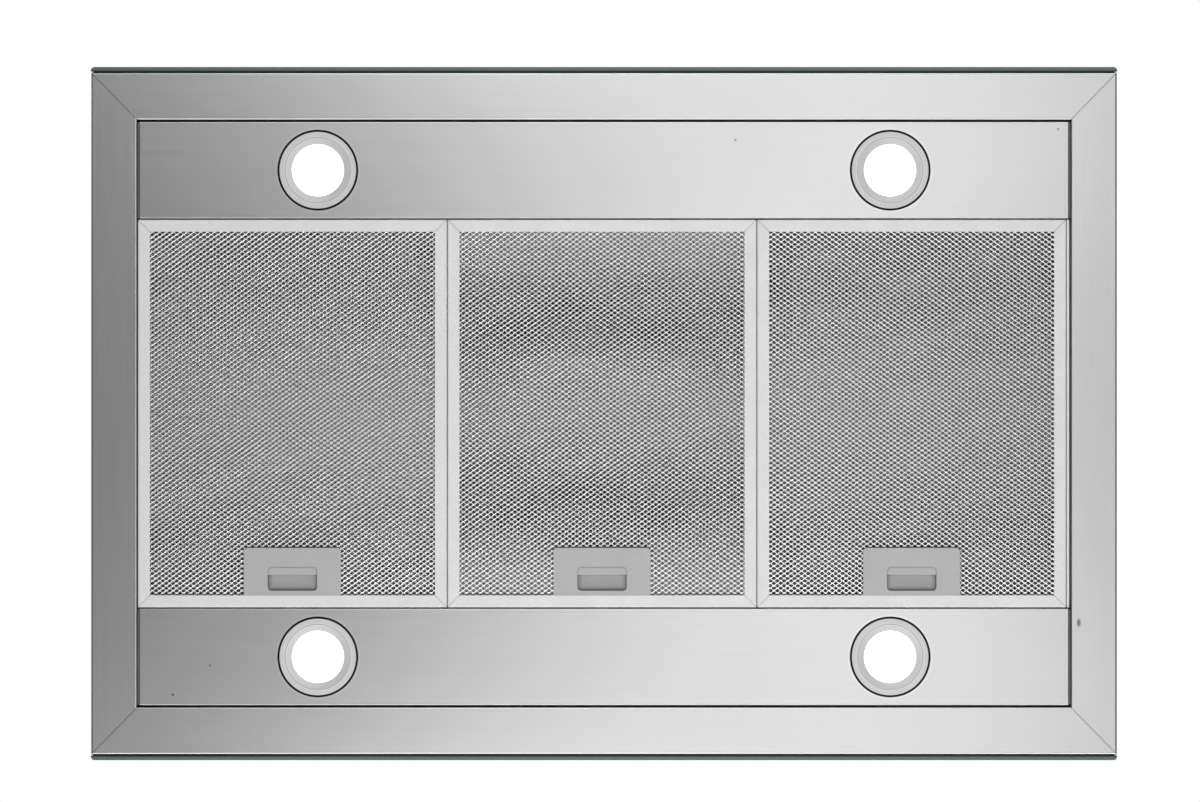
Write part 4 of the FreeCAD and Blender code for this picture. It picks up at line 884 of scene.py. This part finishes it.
# %% Four dark strips, a painted shade in the gaps
STRIP_CLEAR, STRIP_LOW, STRIP_HIGH, STRIP_INSET = 0.00008, 0.0013, 0.0030, 0.0005
PANEL_END = 0.4068  # tabs reach past it, so the panel's box doesn't give it
strip_steps = [(0.00035, 0.0), (0.0001, 0.12), (0.0, 0.35), (0.0, 1.0)]
panel_low, panel_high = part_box("light_panel_rear")
strips, strip_faces, used = [], [], 0
for side in (-1, 1):
    for end in (-1, 1):
        xs = sorted((side * (PANEL_END + STRIP_CLEAR), side * (OPENING[0] - STRIP_CLEAR)))
        ys = sorted((end * (panel_low.y + STRIP_INSET), end * (panel_high.y - STRIP_INSET)))
        corners = (xs[0], ys[0], STRIP_LOW), (xs[1], ys[1], STRIP_HIGH)
        points, quads = stacked_case(*corners, 0.0005, strip_steps)
        strips.append(points)
        strip_faces.append(quads + used)
        used += len(points)
# Dark strips that stand in for the shade in each gap beside the light panels.
gap_shade_strips = welded("panel_gap_shade_strips", np.concatenate(strips), np.concatenate(strip_faces),
               moulded("gap_shade_rubber", (0.13, 0.13, 0.13), 0.7, 1500.0, Specular_IOR_Level=0.2))
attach(gap_shade_strips, "hood")
print("gap_shade_strips", len(gap_shade_strips.data.polygons), "faces")

# %% [markdown]
# ## Light
# The steel tells where the lamps of the studio stood. It is darkest at one end and brightest towards the
# other, so soft lamps near the camera mirror in it there, and grooves spread their mirror images out. Two
# broad lamps, one past the front edge and one past the rear, stand far outside that mirror direction and
# light the matt aluminium. Two small ones, low at the front corners, make the tilted strands of the mesh
# glitter, and two more light the housing from above. The lamps are hidden from the camera, because some of
# them stand between it and the hood.

# %% Studio lamps
def softbox(name, place, aim, size, power):
    """A square area lamp at a place, facing a point, that the camera doesn't see."""
    data = bpy.data.lights.new(name, "AREA")
    data.shape, data.size, data.energy = "SQUARE", size, power
    lamp = bpy.data.objects.new(name, data)
    bpy.context.scene.collection.objects.link(lamp)
    toward = np.array(aim, float) - np.array(place, float)
    lamp.location = place
    lamp.rotation_mode = "QUATERNION"
    lamp.rotation_quaternion = Vector(toward).to_track_quat("-Z", "Y")
    lamp.visible_camera = False
    return lamp


for row, (x, y, power) in enumerate([(0.1, 1.0, 6.8), (-0.6, 0.5, 2.3)]):
    softbox(f"mirror_front_{row}", (x, -y, -2.6), (x, -y, 0.0), 0.5, power)
    softbox(f"mirror_rear_{row}", (x, y, -2.6), (x, y, 0.0), 0.5, power)
softbox("mirror_middle", (-0.2, 0.0, -2.6), (-0.2, 0.0, 0.0), 0.5, 2.6)
softbox("front_lamp", (0.1, -1.9, -1.5), (0.0, 0.0, 0.0), 1.7, 17.5)
softbox("glint_left", (0.95, -1.7, -0.95), (0.0, 0.0, 0.0), 0.6, 5.0)
softbox("glint_right", (-0.95, -1.7, -0.95), (0.0, 0.0, 0.0), 0.6, 9.2)
softbox("rear_lamp", (-0.2, 1.9, -1.5), (0.0, 0.0, 0.0), 1.7, 20.0)
softbox("key_above", (-1.6, -2.2, 2.6), (0.0, 0.0, 0.1), 1.6, 32.0)
softbox("fill_above", (2.2, 1.2, 2.2), (0.0, 0.0, 0.1), 1.6, 24.0)

# %% [markdown]
# ## Floor and world
# The floor lies well below the hood, as under a sample hung from a stand, and it takes the hood's shadow.
# From underneath it has to let the camera through, so its back is clear. It glows a little, so that it
# reads as white paper without more lamps. The world is white to the camera. To everything that it lights
# it is dim below the horizon, where the lamps alone shape the steel, and bright above it, as under a skylight.

# %% Floor and world
FLOOR_LEVEL, FLOOR_HALF = -0.62, 14.0
floor_mesh = bpy.data.meshes.new("floor")
corners = [(FLOOR_HALF * x, FLOOR_HALF * y, FLOOR_LEVEL) for x, y in ((-1, -1), (1, -1), (1, 1), (-1, 1))]
floor_mesh.from_pydata(corners, [], [(0, 1, 2, 3)])
floor = bpy.data.objects.new("floor", floor_mesh)
bpy.context.scene.collection.objects.link(floor)
pale, tree, shader = new_finish("pale_floor", (0.80, 0.80, 0.80), 0.0, 0.8, Emission_Strength=0.30)
shader.inputs["Emission Color"].default_value = (1.0, 1.0, 1.0, 1.0)
clear = node(tree, "BsdfTransparent").outputs[0]
back = node(tree, "NewGeometry").outputs["Backfacing"]
either = node(tree, "MixShader", {0: back, 1: shader.outputs[0], 2: clear}).outputs[0]
tree.links.new(either, tree.nodes["Material Output"].inputs[0])
floor_mesh.materials.append(pale)
floor.visible_shadow = floor.visible_glossy = floor.visible_diffuse = False
floor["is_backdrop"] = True

world = bpy.data.worlds.new("studio")
bpy.context.scene.world = world
world.use_nodes = True
tree = world.node_tree
seen = node(tree, "LightPath").outputs["Is Camera Ray"]
air = tree.nodes["Background"]
rise = node(tree, "SeparateXYZ", {0: node(tree, "TexCoord").outputs["Generated"]}).outputs[2]
sky = blend(tree, spread(tree, rise, 0.0, 1.0, 0.0, 0.45), (0.13, 0.13, 0.13), (0.78, 0.78, 0.78))
tree.links.new(blend(tree, seen, sky, (1.0, 1.0, 1.0)), air.inputs[0])
air.inputs[1].default_value = 1.0
bpy.context.scene.view_settings.view_transform = "Standard"

# %% Measure how far the box grew, and finish
dressed_box = [list(corner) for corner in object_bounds()]
growth = [1000 * abs(a - b) for one, two in zip(cad_box, dressed_box) for a, b in zip(one, two)]
print("box grew by", [round(step, 3) for step in growth], "mm")
